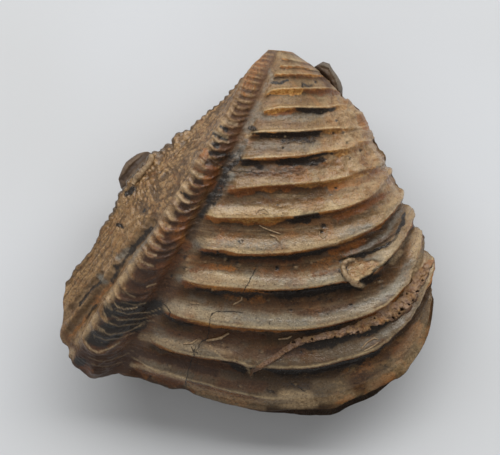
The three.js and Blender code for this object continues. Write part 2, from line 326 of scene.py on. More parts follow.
def smooth_form(way, lanes, depth, lip):
    """The valve without ornament: x, y and the height over the meeting plane, for way[rows, 1].

    Lanes run from the hinge line at -2 by the inner carina at -1, the carina at 0 and the groove
    at 1 to the front edge at 2.
    """
    deep = depth * spiral_depth(way)[:, :, None]
    at_inner = inner_carina(way ** 0.85)
    beak_lean = (ease(0, 0.035, way) * ease(0.4, 0.08, way))[..., None]
    at_carina = carina(way ** 0.88) + np.array([-0.62, 0.1]) * beak_lean
    at_groove = groove(way ** 0.88)
    at_front = front_edge(way ** 0.62)
    lane = lanes[None, :, None]
    grow = way[:, :, None]
    down = np.array([0, -1])

    def join(plan, height):
        return np.concatenate([plan, height], -1)

    inward = np.clip(lane + 2, 0, 1)
    hinge_line = at_inner + np.array([1.5, -1.6]) * (1 - grow)
    escutcheon = join(mix(hinge_line, at_inner, inward), INNER_HEIGHT * deep * inward)

    across = np.clip(lane + 1, 0, 1)
    rear = REAR_BOW * grow ** 2 * np.sin(math.pi * across)
    dish = 0.05 * np.sin(math.pi * across)
    area = mix(at_inner, at_carina, across) + rear * np.array([-1, 0])
    area = join(area, deep * (mix(INNER_HEIGHT, 1, across) - dish))

    over = np.clip(lane, 0, 1)
    width = np.linalg.norm(at_groove - at_carina, axis=-1, keepdims=True)
    dip = CORNER_BOW * width * np.sin(math.pi * over ** 0.6) * ease(0.05, 0.2, grow)
    bars = join(mix(at_carina, at_groove, over) + dip * down, deep * mix(1, 0.95, over))

    along = np.clip(lane - 1, 0, 1)
    jut = ease(0.4, 0.62, along) ** 1.5 * ease(0.88, 0.8, along)
    bow = BELLY_BOW * grow ** 1.85 * bow_shape(along) + lip * grow ** 8 * jut
    round_off = (1 - along ** 2.5) ** (1 / 2.2)
    rise = 0.95 + 0.07 * np.sin(math.pi * np.minimum(1, along * 1.6))
    flank = join(mix(at_groove, at_front, along) + bow * down, deep * rise * round_off)

    return np.where(lane <= -1, escutcheon, np.where(lane <= 0, area, np.where(lane <= 1, bars, flank)))


def outward_of(points):
    """The directions straight out of a grid of points."""
    return unit(np.cross(np.gradient(points, axis=0), np.gradient(points, axis=1)))


def wall_fade(lanes):
    """How much of the relief is left near the front edge, where the valve is steep."""
    return mix(0.25, 1, ease(1.97, 1.88, lanes))


def relief_size(way):
    """How much of the relief there is, growing from the beak and gone at the very margin."""
    return np.clip(0.3 + 0.9 * way, 0, 1) * ease(0, 0.03, 1 - way)


def place(points, side):
    """Valve points, with heights over the meeting plane, set into the frame."""
    x, y, z = np.moveaxis(points, -1, 0)
    height = MEETING_HEIGHT + SLOPE_TO_FRONT * x + SLOPE_TO_BEAK * y + side * (z + VALVE_GAP / 2)
    return np.stack([x + OUTLINE_SHIFT[0], y + OUTLINE_SHIFT[1], np.maximum(height, 0)], -1)


WAY_CROWDING = 1.04     # rows lie closer together near the beak


def lane_axis(hinge, area, bars, flank, wall):
    """Lanes with so many steps in each part, closer together towards the front edge."""
    starts = [np.linspace(-2, -1, hinge, endpoint=False), np.linspace(-1, 0, area, endpoint=False),
              np.linspace(0, 1, bars, endpoint=False), np.linspace(1, 1.9, flank, endpoint=False)]
    return np.concatenate(starts + [1.9 + 0.1 * (1 - (1 - np.linspace(0, 1, wall + 1)) ** 2.2)])


# ---- The outline -------------------------------------------------------------------------------

TRIM_WAYS = np.linspace(0, 1, 340) ** WAY_CROWDING
TRIM_LANES = lane_axis(8, 40, 24, 100, 28)
# How far past the traced line, in pixels, each edge of the form is brought.
FRONT_SPREAD, BASE_SPREAD, SIDE_SPREAD = 0.6, 0.5, -0.1
EDGE_ROUGHNESS = 0.7    # pixels
FURTHEST_TRIM = 11      # pixels
NOT_MET = 99
INSIDE = 250            # pixels: a place across and down that is well inside the outline
TRIM_RELIEF = 0.3       # millimetres of ornament that are counted on the smooth form


def outline_reach(places, normals, spread):
    """How far along each normal the traced outline lies, in pixels, with 0 where it isn't met."""
    line = np.array(OUTLINE)[None]
    gap = line[:, :-1] - places[:, None]
    edge = line[:, 1:] - line[:, :-1]
    n = normals[:, None]

    def cross(a, b):
        return a[..., 0] * b[..., 1] - a[..., 1] * b[..., 0]

    turned = cross(n, edge)
    turned = np.where(np.abs(turned) < 1e-9, 1e-9, turned)
    reach, along = cross(gap, edge) / turned, cross(gap, n) / turned
    met = (along >= -0.02) & (along <= 1.02) & (np.abs(reach) < FURTHEST_TRIM)
    reach = np.where(met, reach, NOT_MET)
    best = reach[np.arange(len(places)), np.argmin(np.abs(reach), axis=1)]
    best = best + spread + EDGE_ROUGHNESS * rough(places[:, 0] / 5, places[:, 1] / 5, 25)
    return np.where(np.abs(best) < FURTHEST_TRIM, best, 0)


def edge_shift(seen, extent, reach, spread):
    """Shift in millimetres that brings an edge, seen as a line of pixels, onto the traced outline."""
    run = blur(np.gradient(seen, axis=0), 8)
    normal = unit(np.stack([run[:, 1], -run[:, 0]], -1))
    normal *= np.sign(((seen - INSIDE) * normal).sum(1, keepdims=True))
    furthest = (extent * normal[:, None]).sum(-1).max(1)
    shift = (outline_reach(seen, normal, spread) - furthest)[:, None] * normal * PIXEL
    return blur(shift * [1, -1], reach)


def trim_to_outline(seen, fine):
    """Plan shifts in millimetres for every place of the upper valve, broad or for the very edge."""
    ways, lanes = TRIM_WAYS, TRIM_LANES
    reach = 2 if fine else 9
    body = int(np.argmax(ways > 0))
    inner = int(np.argmin(np.abs(lanes + 1)))
    front = edge_shift(seen[:, -1], seen[:, lanes > 1.7] - seen[:, -1:], reach, FRONT_SPREAD)
    sweep = np.swapaxes(seen[ways > 0.9, inner:], 0, 1) - seen[-1, inner:, None]
    base = edge_shift(seen[-1, inner:], sweep, reach, BASE_SPREAD)
    brink = seen[:, inner - 2:inner + 4] - seen[:, inner:inner + 1]
    side = edge_shift(seen[:, inner], brink, 2, SIDE_SPREAD)
    front[:body + 3] = side[:body + 3] = 0

    def share(by_lane, by_way):
        return by_lane[None, :, None] * by_way[:, None, None]

    along_base = np.concatenate([base[:1].repeat(inner, 0), base])
    by_front = share(ease(1.9 if fine else 1.5, 1.99, lanes), ease(0, 0.03, ways))
    by_base = share(ease(-2, -1.1, lanes), ease(0.94 if fine else 0.8, 0.995, ways))
    by_side = share(ease(-0.7, -0.98, lanes) * ease(-1.9, -1.02, lanes), ease(0, 0.03, ways))
    shift = by_front * front[:, None] + by_base * along_base[None] + by_side * side[:, None]
    return shift / np.maximum(by_front + by_base + by_side, 1)


def find_trim():
    """The plan shifts that bring the smooth upper valve onto the traced outline."""
    shift = np.zeros((len(TRIM_WAYS), len(TRIM_LANES), 2))
    for fine in (False, False, True, True):
        form = smooth_form(TRIM_WAYS[:, None], TRIM_LANES, UPPER_DEPTH, 0)
        form[..., :2] += shift
        form = form + outward_of(form) * (TRIM_RELIEF * relief_size(TRIM_WAYS[:, None]))[..., None]
        shift = shift + trim_to_outline(seen_at(place(form, 1)), fine)
    return shift


shift_table = find_trim()


def trim(ways, lanes):
    """The plan shift for each way and lane, read between the places of the table."""
    rows = np.interp(ways, TRIM_WAYS, np.arange(len(TRIM_WAYS)))[:, None]
    columns = np.interp(lanes, TRIM_LANES, np.arange(len(TRIM_LANES)))[None]
    r = np.minimum(rows.astype(int), len(TRIM_WAYS) - 2)
    c = np.minimum(columns.astype(int), len(TRIM_LANES) - 2)

    def between(row):
        return mix(shift_table[row, c], shift_table[row, c + 1], (columns - c)[..., None])

    return mix(between(r), between(r + 1), (rows - r)[..., None])


# ---- Traced lines brought onto the valve -------------------------------------------------------


class Survey:
    """Where the camera sees each way and lane of the upper valve at the height of its crests."""

    def __init__(self):
        self.ways = np.linspace(0.003, 0.999, 420)
        self.lanes = np.linspace(-0.999, 1.995, 620)
        way = self.ways[:, None]
        points = smooth_form(way, self.lanes, UPPER_DEPTH, 0)
        points[..., :2] += trim(self.ways, self.lanes)
        fade = wall_fade(self.lanes)[None, :, None]
        points = points + fade * outward_of(points) * (RIB_RELIEF * relief_size(way))[..., None]
        self.seen = seen_at(place(points, 1))

    def find(self, marks):
        """The way and lane under each pixel."""
        flat = self.seen.reshape(-1, 2)
        found = []
        for mark in np.array(marks):
            row, column = divmod(int(np.argmin(((flat - mark) ** 2).sum(1))), len(self.lanes))
            row = min(max(row, 1), len(self.ways) - 2)
            column = min(max(column, 1), len(self.lanes) - 2)
            down = (self.seen[row + 1, column] - self.seen[row - 1, column]) / 2
            over = (self.seen[row, column + 1] - self.seen[row, column - 1]) / 2
            missed = mark - self.seen[row, column]
            step = np.linalg.lstsq(np.stack([down, over], 1), missed, rcond=None)[0]
            step = np.clip(step, -1, 1)
            found.append((self.ways[row] + step[0] * (self.ways[1] - self.ways[0]),
                          self.lanes[column] + step[1] * (self.lanes[1] - self.lanes[0])))
        return np.array(found)


survey = Survey()


def crest_line(marks):
    """Places along the flank and ways of a traced crest."""
    found = survey.find(marks)
    found = found[np.argsort(found[:, 1])]
    return found[:, 1] - 1, found[:, 0]


rib_lines = [crest_line(marks) for marks in RIB_CRESTS]
short_line = crest_line(SHORT_RIB)
bar_ways = np.sort(survey.find(BAR_ENDS)[:, 0])

# ---- Ornament ----------------------------------------------------------------------------------

# Sections of one rib, from its crest at 0 down its steep face to the next crest at 1: narrow near
# the beak, broad from about the tenth rib on, later still with a wider trough, and gentle where
# one of the lower ribs begins at the groove.
narrow_section = section("""
0,0.98 0.03,0.88 0.07,0.6 0.12,0.25 0.18,0.06 0.26,0 0.36,0.04 0.5,0.15 0.62,0.23 0.76,0.27
0.84,0.42 0.91,0.8 0.96,0.98 0.985,1 1,0.98
""", 0.015)
broad_section = section("""
0,0.98 0.025,0.9 0.055,0.62 0.09,0.3 0.13,0.1 0.2,0 0.3,0 0.45,0.05 0.57,0.16 0.67,0.38 0.77,0.68
0.86,0.9 0.93,0.98 0.98,1 1,0.98
""", 0.012)
late_section = section("""
0,0.98 0.025,0.9 0.055,0.62 0.09,0.3 0.13,0.1 0.2,0 0.35,0 0.5,0.03 0.61,0.1 0.7,0.27 0.79,0.58
0.87,0.86 0.94,0.98 0.98,1 1,0.98
""", 0.012)
gentle_section = section("""
0,0.98 0.04,0.93 0.09,0.8 0.15,0.5 0.21,0.22 0.28,0.06 0.38,0 0.5,0.06 0.6,0.2 0.7,0.5 0.8,0.78
0.88,0.92 0.95,0.99 1,0.98
""", 0.012)
# Sections of one bar, close-set near the beak and wide apart further on.
close_bar = section("0,1 0.1,0.86 0.22,0.34 0.32,0 0.48,0 0.64,0.34 0.8,0.76 0.92,0.97 1,1", 0.04)
wide_bar = section("0,1 0.07,0.85 0.16,0.3 0.27,0 0.5,0 0.68,0.2 0.85,0.7 0.95,0.97 1,1", 0.03)

# How much painted light each rib's upper slope gets, from the first rib on.
LIT_BAND_TONES = [0.3, 0.25, 0.25, 0.25, 0.25, 0.3, 0.4, 0.6, 0.9, 0.95, 0.95, 0.95, 0.55, 0.6]


def rib_reading(way, lane):
    """For each place: how far it is on from one crest to the next, its rib and the rib's start."""
    along = lane[0] - 1
    crests = np.array([np.interp(along, *line) for line in rib_lines])
    for k in range(1, len(crests)):
        crests[k] = np.maximum(crests[k], crests[k - 1] + 0.008)
    starts = np.array([line[0][0] for line in rib_lines])
    numbers = np.arange(len(crests) + 2)
    columns = [[0, *crest, max(1.08, crest[-1] + 0.05)] for crest in crests.T]
    count = np.stack([np.interp(way[:, 0], column, numbers) for column in columns], -1)
    number = np.floor(count)
    phase = count - number
    owner = np.where(phase < 0.4, number, number + 1) - 1
    owner = np.clip(owner, 0, len(crests) - 1).astype(int)
    return phase, owner, starts[owner]


def bar_reading(way, lane):
    """The number of bars above each place, as a running count."""
    rise = 0.011 * ease(0, 0.25, lane) * ease(0.9, 0.7, way) * ease(0.14, 0.24, way)
    rise = rise + 0.012 * ease(0.2, 0.65, lane) * ease(0.3, 0.5, way)
    rise = rise + 0.042 * ease(0.18, 0.6, lane) * ease(0.62, 0.9, way)
    count = np.interp(way + rise, [0, *bar_ways, 1.02], np.arange(len(bar_ways) + 2))
    return count + 0.16 * noise(way * 30, lane * 4, 8) * ease(0.05, 0.3, way)


def ornament(way, lane):
    """Relief in millimetres and the masks that the finish reads, for way[rows, 1], lane[1, lanes]."""
    grown = ease(0, 0.14, way)
    size = relief_size(way) * ease(0, 0.05, way)
    young = ease(0.1, 0.2, way)
    masks = {}

    # The flank and its ribs.
    along = np.clip(lane - 1, 0, 1)
    phase, owner, start = rib_reading(way, lane)
    sway = 0.02 * noise(along * 16, way * 22, 3) * ease(0, 0.15, phase) * ease(1, 0.85, phase)
    phase = np.clip(phase + sway, 0, 1)
    onward = along - start
    begun = ease(-0.01, 0.03, onward + 0.008 * noise(phase * 4, owner * 2.3, 5))
    ramp = ease(-0.015, mix(0.05, 0.11, ease(4, 10, owner)), onward) ** 0.7
    weak = 1 - 0.35 * ease(0.68, 0.92, along) * ease(0.55, 0.35, way) - 0.3 * ease(0.9, 1, way)
    weak = weak * np.where(owner == len(rib_lines) - 1, ease(0.6, 0.45, along), 1)
    uneven = 1 + 0.12 * noise(along * 7 + owner * 3.3, owner, 6)
    opening = ease(0.4, 0.12, onward) * ease(6, 8, owner)
    late = ease(9.2, 10.8, owner)
    height = mix(narrow_section(phase), broad_section(phase), ease(4, 9, owner))
    height = mix(height, late_section(phase), late)
    height = mix(height, gentle_section(phase), 0.8 * opening)
    rib = RIB_RELIEF * height * ramp * weak * uneven * wall_fade(lane)

    # A short rib that starts part way along, between two others.
    reach = ease(short_line[0][0] - 0.01, short_line[0][0] + 0.05, along)
    offset = way - np.interp(along, *short_line)
    short = np.where(offset < 0, ease(-0.015, -0.001, offset), ease(0.008, 0, offset)) * reach
    rib = np.maximum(rib, 0.8 * short * wall_fade(lane))
    hollow = ease(0.5, 0.95, lane) * ease(0.1, 0, along)
    flank = rib - GROOVE_DEPTH * grown * hollow

    # The carina with its bars.
    bar_count = bar_reading(way, lane)
    bar_number = np.floor(bar_count)
    bar_phase = bar_count - bar_number
    strength = 0.8 + 0.4 * noise(bar_number, 0 * lane, 9)
    bars_reach = ease(-0.06, 0.02, lane) * ease(0.97, 0.94, way)
    bar = mix(close_bar(bar_phase), wide_bar(bar_phase), ease(0.12, 0.25, way))
    bars_fade = ease(1.08, mix(0.8, 0.55, ease(0.1, 0.25, way)), lane)
    ridge = np.where(lane < 0, ease(-0.14, -0.01, lane), ease(1.05, 0, lane))
    lines = noise(way * 230, lane * 3, 12) + 0.6 * noise(way * 110, lane * 2, 16)
    lines = lines * ease(0.05, 0.4, lane) * ease(1.2, 0.9, lane)
    keel = CARINA_RELIEF * ridge * grown ** 0.6 * ease(1, 0.9, way - 0.1 * ease(0.2, 0.5, lane))
    keel = keel + BAR_RELIEF * grown ** 0.4 * strength * bar * bars_reach * bars_fade
    keel = keel + (0.035 + 0.05 * ease(0.72, 0.85, way)) * lines

    # The inner carina, with tubercles along the hinge side.
    share = way ** 0.88
    knob = 40 * share ** 0.95
    knob_size = 0.75 + 0.35 * noise(np.floor(knob), 0 * lane, 15)
    knobs = np.sin(math.pi * (knob - np.floor(knob))) ** 2 * knob_size * ease(0.85, 0.6, way)
    edge = INNER_RELIEF * hill(lane, -1, 0.06)

    # The rear area: granular rows that run on as ridges towards the margin.
    across = np.clip(lane + 1, 0, 1)
    in_area = ease(-1.0, -0.96, lane) * ease(-0.05, -0.14, lane)
    row = across * 9 + 0.8 * noise(across * 4, way * 14, 10) + 0.4 * noise(across * 12, way * 44, 13)
    row_number = np.floor(row)
    run_on = ease(0.5, 0.78, way)
    bead_count = 74 * share + 1.37 * row_number + 0.9 * noise(across * 6, way * 24, 11)
    bead_number = np.floor(bead_count)
    bead_shape = np.sin(math.pi * (bead_count - bead_number)) ** 0.7
    bead_size = 0.6 + 0.7 * noise(bead_number * 1.7, row_number * 1.3, 14)
    bead = np.sin(math.pi * (row - row_number)) ** 0.8 * mix(bead_shape, 0.75, 0.95 * run_on)
    bead = bead * mix(bead_size, 0.8, 0.6 * run_on)
    fibres = noise(across * 34 + 0.8 * noise(across * 6, way * 9, 17), way * 8, 18)
    fibres = fibres + 0.6 * noise(across * 70, way * 17, 19)
    swell = rough(across * 13 + 2 * noise(across * 5, way * 12, 44), way * 46, 45)

    # Fine streaks that follow the growth of each part.
    streak = noise(way * 150, along * 7, 41) + 0.7 * noise(way * 330, along * 16, 42)
    streak = np.where(lane < 0, mix(noise(across * 30, way * 90, 43), fibres, run_on), streak)
    streak = np.where((lane >= 0) & (lane < 1), lines, streak)

    relief = size * (flank + np.where(lane <= 1.05, keel, 0) + edge)
    rows_relief = BEAD_RELIEF * bead * (1 - 0.4 * run_on) + 0.06 * fibres * run_on + 0.14 * swell
    masks["granules"] = size * rows_relief * in_area
    beaded = np.clip(bead + 0.5 * swell, 0, 1)
    masks["bead"] = in_area * mix(beaded, np.clip(0.55 + 0.6 * fibres, 0, 1), run_on)
    masks["streak"] = 0.5 + 0.5 * np.clip(streak, -1, 1)
    masks["tubercle"] = hill(lane, -1, 0.09) * knobs * ease(0, 0.05, way)

    # Masks of the ribs' parts. The crest mask is a painted highlight along each crest.
    crest_half = mix(0.1, 0.05, ease(3, 8, owner))
    masks["crest"] = begun * hill(phase, 0.955, crest_half) * weak
    # Painted light on each rib's upper slope, which faces the light.
    rise = np.maximum(mix(0.42, 0.58, opening), mix(0.42, 0.6, late))
    risen = mix(mix(0.8, 0.86, late), 0.74, opening)
    lit_band = begun * ease(rise, risen, phase) * ease(1.03, 0.98, phase)
    thin = ease(0.42, 0.2, onward) * ease(11.4, 11.6, owner)
    lit_band = lit_band * weak * np.array(LIT_BAND_TONES)[owner] * (1 + 0.15 * opening)
    masks["lit_band"] = lit_band * mix(1, ease(0.74, 0.9, phase), thin)
    # The brow and the top of each steep face are rusty, and painted lighter to stand in for the light
    # that falls on them.
    brow = ease(0.985, 1, phase)
    under = phase - 0.06 * opening
    masks["lip"] = begun * (brow + ease(0.085, 0.055, under)).clip(0, 1) * weak
    masks["steep"] = begun * np.clip(brow + ease(0.16, 0.08, phase), 0, 1)
    # Painted shade in the troughs between ribs.
    early = ease(9.6, 8.2, owner)
    floor_end = ease(mix(0.72, 0.46, early), mix(0.25, 0.12, early), phase)
    masks["trough"] = begun * ease(0.07, 0.13, phase) * floor_end
    # A painted grey sheen on the upper slopes of the lower ribs.
    slope = ease(0.5, 0.8, phase) * ease(1.01, 0.96, phase)
    masks["slope_sheen"] = begun * ease(8.5, 10.5, owner) * slope
    masks["front"] = ease(0.86, 0.98, along) * ease(0.05, 0.2, way)

    # Masks of the carina, the area and the edges between them.
    # Painted shade in the gap under each bar of the carina.
    gap_width = ease(mix(1.0, 0.7, ease(0.2, 0.4, way)), 0.25, lane)
    masks["gap"] = bars_reach * ease(0.5, 0.12, bar) * gap_width * mix(0.75, 1, young)
    # The bars' pale left ends, painted lighter where light falls on them.
    bar_width = mix(ease(0.95, 0.6, lane), ease(0.34, 0.05, lane), ease(0.12, 0.3, way))
    masks["bar"] = bars_reach * ease(mix(0.4, 0.5, young), mix(0.9, 0.95, young), bar) * bar_width
    masks["keel"] = ease(-0.02, 0.04, lane) * ease(1.12, 0.8, lane)
    masks["beak"] = ease(0.34, 0.12, way)
    masks["strip"] = ease(-0.16, -0.08, lane) * ease(0.05, -0.01, lane)
    masks["area"] = ease(-1.01, -0.98, lane) * ease(-0.1, -0.15, lane)
    masks["rim"] = hill(lane, -1, 0.06) * (0.4 + 0.6 * ease(0.2, 0.7, knobs))
    furrow = ease(0.72, 0.98, lane) * ease(0.035, 0, along) * ease(0.97, 0.85, way)
    masks["furrow"] = furrow * mix(0.55, 1, ease(0.18, 0.32, way))
    shape = np.broadcast(way, lane).shape
    masks = {name: np.broadcast_to(values, shape).copy() for name, values in masks.items()}
    return np.broadcast_to(relief, shape).copy(), masks, (owner + 1, phase, begun)


# ---- Marks placed by pixel ---------------------------------------------------------------------

# Marks that follow one rib: its number, from and to which pixel across, from and to which part of
# its section (0 its crest, less than 0 above it, more than 0 down its steep face), and how strong.
# Black stain, which also paints shade down the steep faces under the crests.
RIB_BLACK_STAIN_AND_SHADE = groups("""
3,270,290,0.3,0.5,0.5 5,298,336,0.02,0.26,0.95 6,244,258,-0.2,0.5,0.9 6,256,322,0.02,0.2,1
6,286,322,0.2,0.5,0.55 7,236,264,0.05,0.25,0.9 7,276,330,0.04,0.17,0.95 9,284,324,0.08,0.22,0.7
10,196,336,0.09,0.22,0.8 11,195,266,0.12,0.28,0.7 11,262,366,0.03,0.24,1 11,270,352,0.2,0.44,0.4
12,160,200,0.1,0.3,0.6 12,292,356,0.06,0.2,0.85 12,290,400,0.42,0.6,0.8 13,222,262,0.02,0.36,0.9
13,258,392,0.05,0.25,0.95 13,270,380,0.2,0.4,0.4 8,284,300,0.1,0.2,0.4
""")
RIB_AMBER = groups("""
2,276,300,-0.05,0.4,0.5 3,276,320,-0.02,0.3,0.4 4,300,345,0,0.3,0.6 5,262,300,0,0.3,0.75
5,336,352,-0.2,0.3,0.4 6,318,348,-0.02,0.26,0.6 7,326,364,-0.1,0.2,0.55 8,224,300,0,0.22,0.95
8,300,372,0,0.18,0.9 9,205,290,0,0.19,0.95 9,320,380,0.04,0.4,0.45 10,195,400,0,0.1,0.85
10,250,345,0.45,0.8,0.35 11,176,290,-0.02,0.18,0.95 12,176,420,0,0.14,0.9 13,150,230,0,0.12,0.8
13,280,400,0,0.07,0.7 14,130,260,0,0.3,0.5
""")
RIB_GOLD = groups("""
3,300,330,-0.1,0.12,0.6 4,268,306,-0.02,0.3,1 5,262,292,0,0.2,0.7 5,326,352,-0.02,0.2,0.7
6,320,352,-0.02,0.24,0.9 7,326,368,-0.02,0.22,0.9 8,330,384,0,0.16,0.7 8,292,332,0,0.14,0.8
9,226,293,0,0.13,0.9 10,322,372,0,0.08,0.7 11,190,236,0,0.08,0.7 12,186,220,0,0.08,0.8
13,146,190,-0.05,0.05,0.6
""")
# Strokes, one to a row: the half width in pixels and the strength, then the points of a line.
# Black stain, partly painted shade, such as the dark outlines beside the chip's rim.
BLACK_STAIN_AND_SHADE_STROKES = group_rows("""
3.5,0.6 214,203 221,190 228,177;
5,0.5 222,158 240,152;
7.5,1 110,310 130,308 158,308;
8,1 96,338 110,328 140,321;
4,0.9 88,340 104,343 120,334;
4,0.8 76,359 84,363;
3.4,0.75 236,162 227,170 223,180 215,192 208,203 201,216;
4,0.35 246,138 240,146 232,158 224,166;
3,0.7 250,128 256,131;
3,0.8 240,159 256,164 262,167;
3,0.2 201,216 196,228 186,246;
2.4,1 215,133.5 225,138;
2.2,1 211,142 219,146;
2,0.7 209,151 218,155 232,155;
2.4,0.9 222,126 226,129;
2.2,0.9 183,193 190,198;
1.4,1 272,83 280,83 288,80.5;
2.2,0.8 118,226 122,226;
1.8,0.8 143,211 144,210;
2.8,0.8 128,193 133,190;
2.6,0.75 149,227 139,240 129,251;
2,0.65 129,251 118,266 110,281;
2.8,0.8 99,281 90,291 80,304;
2.5,0.6 85,318 93,306;
2.4,0.9 354,287 378,276;
1.6,0.9 360,283 378,268 392,258;
1.8,0.9 340,261 352,257.5 364,255 378,249.5 391,241.5 400,231 405,214;
3.6,0.85 297,219.5 305,216.5 317,214;
2.4,0.8 292,222 310,221;
2,0.6 303,84 312,86;
1.1,0.85 340,263 340,270 344,277 350,284 356,289 362,290;
0.9,0.7 350,262 346.5,266 347.5,272 352,278 358,281.5;
1.6,0.7 386,262 392,256;
5,0.62 284,138 300,140 314,140;
3,0.7 262,136 300,135 318,134;
3.2,0.8 277,163 300,163 322,161
""")
# Blue-grey stain, partly a painted grey sheen on the upper slopes.
GREY_STAIN_AND_SHEEN_STROKES = group_rows("""
2.5,0.5 270,70 270,82;
2,0.4 266,84 263,92;
4,0.5 258,104 252,118 247,130;
4,0.5 255,115 300,118 335,112;
3,0.6 246,140 241,150 234,156;
4,0.45 256,146 300,148 320,146;
3,0.35 240,170 262,168 290,170;
3.5,0.8 222,182 233,177;
3,0.7 206,211 214,206;
4,0.35 205,210 240,208;
5,0.6 196,244 215,244 262,246 310,243;
3.5,0.7 178,278 190,279;
5,0.5 168,307 200,311 250,318 300,323;
5,0.65 300,322 340,314 376,302 398,285 412,262;
5,0.8 342,235 370,228;
2.6,0.5 352,254 370,246 383,237 393,226 400,212;
4,0.9 368,262 380,259;
5,0.5 250,274 300,283 338,278;
3.5,0.5 365,344 378,338 400,322 416,304;
3,0.7 118,258 126,250;
3.5,0.9 100,276 104,281;
2.2,0.6 152,228 142,246 130,262;
3,0.6 150,308 166,306;
3,0.3 190,298 205,301
""")
AMBER_STROKES = group_rows("""
3.5,0.9 206,152 204,157;
5,1 200,168 214,171;
6,0.85 207,180 218,186;
4,0.4 190,187 214,190;
3,0.5 244,86 254,87;
2.2,0.5 243,92 248,94;
6,0.5 262,57 258,66 248,80;
5,0.8 232,190 240,192;
6,0.7 184,221 176,236 187,247;
6,0.55 166,226 158,240 150,252;
6,0.5 172,262 182,258;
6,0.5 160,268 176,262;
4,0.7 332,252 348,247 362,241;
5,0.7 358,118 367,127;
3.5,0.5 70,338 84,318;
3.2,0.5 93,303 104,290 111,281;
4,0.55 82,366 90,371;
2.5,0.7 72,353 76,358;
3,0.6 365,272 375,270;
6,0.4 316,267 336,259 356,250;
5,0.45 262,272 276,274;
4,0.8 338,217 362,208 382,196;
4,0.85 330,187 360,182 378,172;
4,0.6 192,270 212,266 232,269;
5,0.4 228,296 262,300;
3,0.5 390,312 410,296 420,278;
7,0.75 398,352 408,342 416,328;
5,0.7 376,384 392,376;
3,0.6 338,402 352,397;
4,0.5 200,388 230,396 262,402;
5,0.35 345,200 372,190;
4,0.4 306,160 326,162;
5,0.5 340,150 360,144
""")
# Pale marks and painted glints: the thin light lines over the black bars and along the crests are
# painted glints.
PALE_MARK_AND_GLINT_STROKES = group_rows("""
3,0.45 279,54 290,56 299,60;
3.2,0.55 142,336 165,341 195,349;
2.2,0.9 132,364.5 150,369 185,379.5;
2.6,0.55 187,385 212,393 240,400 262,403;
1.8,0.6 140,338 158,343 180,349;
0.9,0.8 210,346 216,352 224,359;
1.2,0.8 243,362 248,368 251,374;
1.2,0.6 186,342 192,344 200,340;
2.6,0.45 205,347 230,353;
5,0.5 306,399 330,399 350,394;
2.2,0.45 198,393 215,399 245,406 264,408;
2.6,0.3 228,211 262,212 300,209 330,204;
6,0.5 264,400 282,401 306,399;
6.5,1 284,396 298,397 309,397;
4,0.8 282,404 298,405 314,404;
3.6,1 292,247 316,245 336,241;
5,0.8 417,248 420,260 415,274;
4,0.6 404,368 414,356 421,342;
3,0.5 392,262 400,252;
3,0.6 200,240 214,242;
8,0.45 398,362 412,344 420,330;
6,0.4 372,384 392,371;
7,0.3 318,386 345,388;
6,0.4 352,184 380,178;
5,0.45 290,243 322,242 346,236;
5,0.5 212,212 236,211 256,211;
4,0.5 186,277 214,279 246,281;
4,0.5 166,308 196,312 228,318;
4,0.35 330,207 352,200 370,190;
3,0.35 310,322 345,315 378,303;
0.9,0.8 86,343 90,348.5 98,352.5 108,349.5 119,343;
5,0.5 380,260 392,250 401,238;
8,0.5 345,112 356,128 350,142;
6,0.4 415,240 422,246;
2.8,0.8 96,316 88,330 84,336;
3,0.6 113,292 106,304;
3.5,0.7 132,266 121,281;
2.2,0.8 73,352 72,356;
1.5,0.7 160,222 170,226.5;
1.3,0.7 153,231 163,236.5;
1.3,0.7 147,241 160,246;
1,0.8 147,252 156,255.5;
1.1,0.6 139,261 153,266;
2.2,0.7 176,197 188,202;
2.2,0.6 166,211 174,217;
2.2,0.6 183,187 190,193;
2.2,0.7 193,173 202,176;
3,0.5 196,163 203,168;
1.6,0.7 214,131 222,135 227,137;
1.8,0.6 224,122 236,124;
1.4,0.5 216,141 228,142;
0.7,0.6 102,310 107,318;
0.6,0.7 113,302 117,307 125,309 137,307;
1,0.6 97,326 104,331;
0.7,0.6 134,328 143,324;
0.7,0.6 122,291 128,294 135,297;
0.7,0.8 147,287 151,285 156,283.5;
0.7,0.5 117,320 130,319.5;
0.6,0.6 116,311 128,314 150,312 160,309;
0.55,0.5 112,316 124,320 140,319 156,315;
0.55,0.5 106,322 118,326 136,324 154,320;
0.6,0.5 98,330 110,335 126,332 140,326;
0.5,0.45 94,336 106,340.5 120,338 134,333;
1,0.7 105,305 112,310;
0.6,0.5 122,302 134,305 146,303;
0.5,0.35 88,358 104,362 122,356 134,350;
0.5,0.3 92,364 106,367 122,362;
1.4,0.7 246,137 251,134.5;
1,0.8 132,366 142,368 150,371
""")
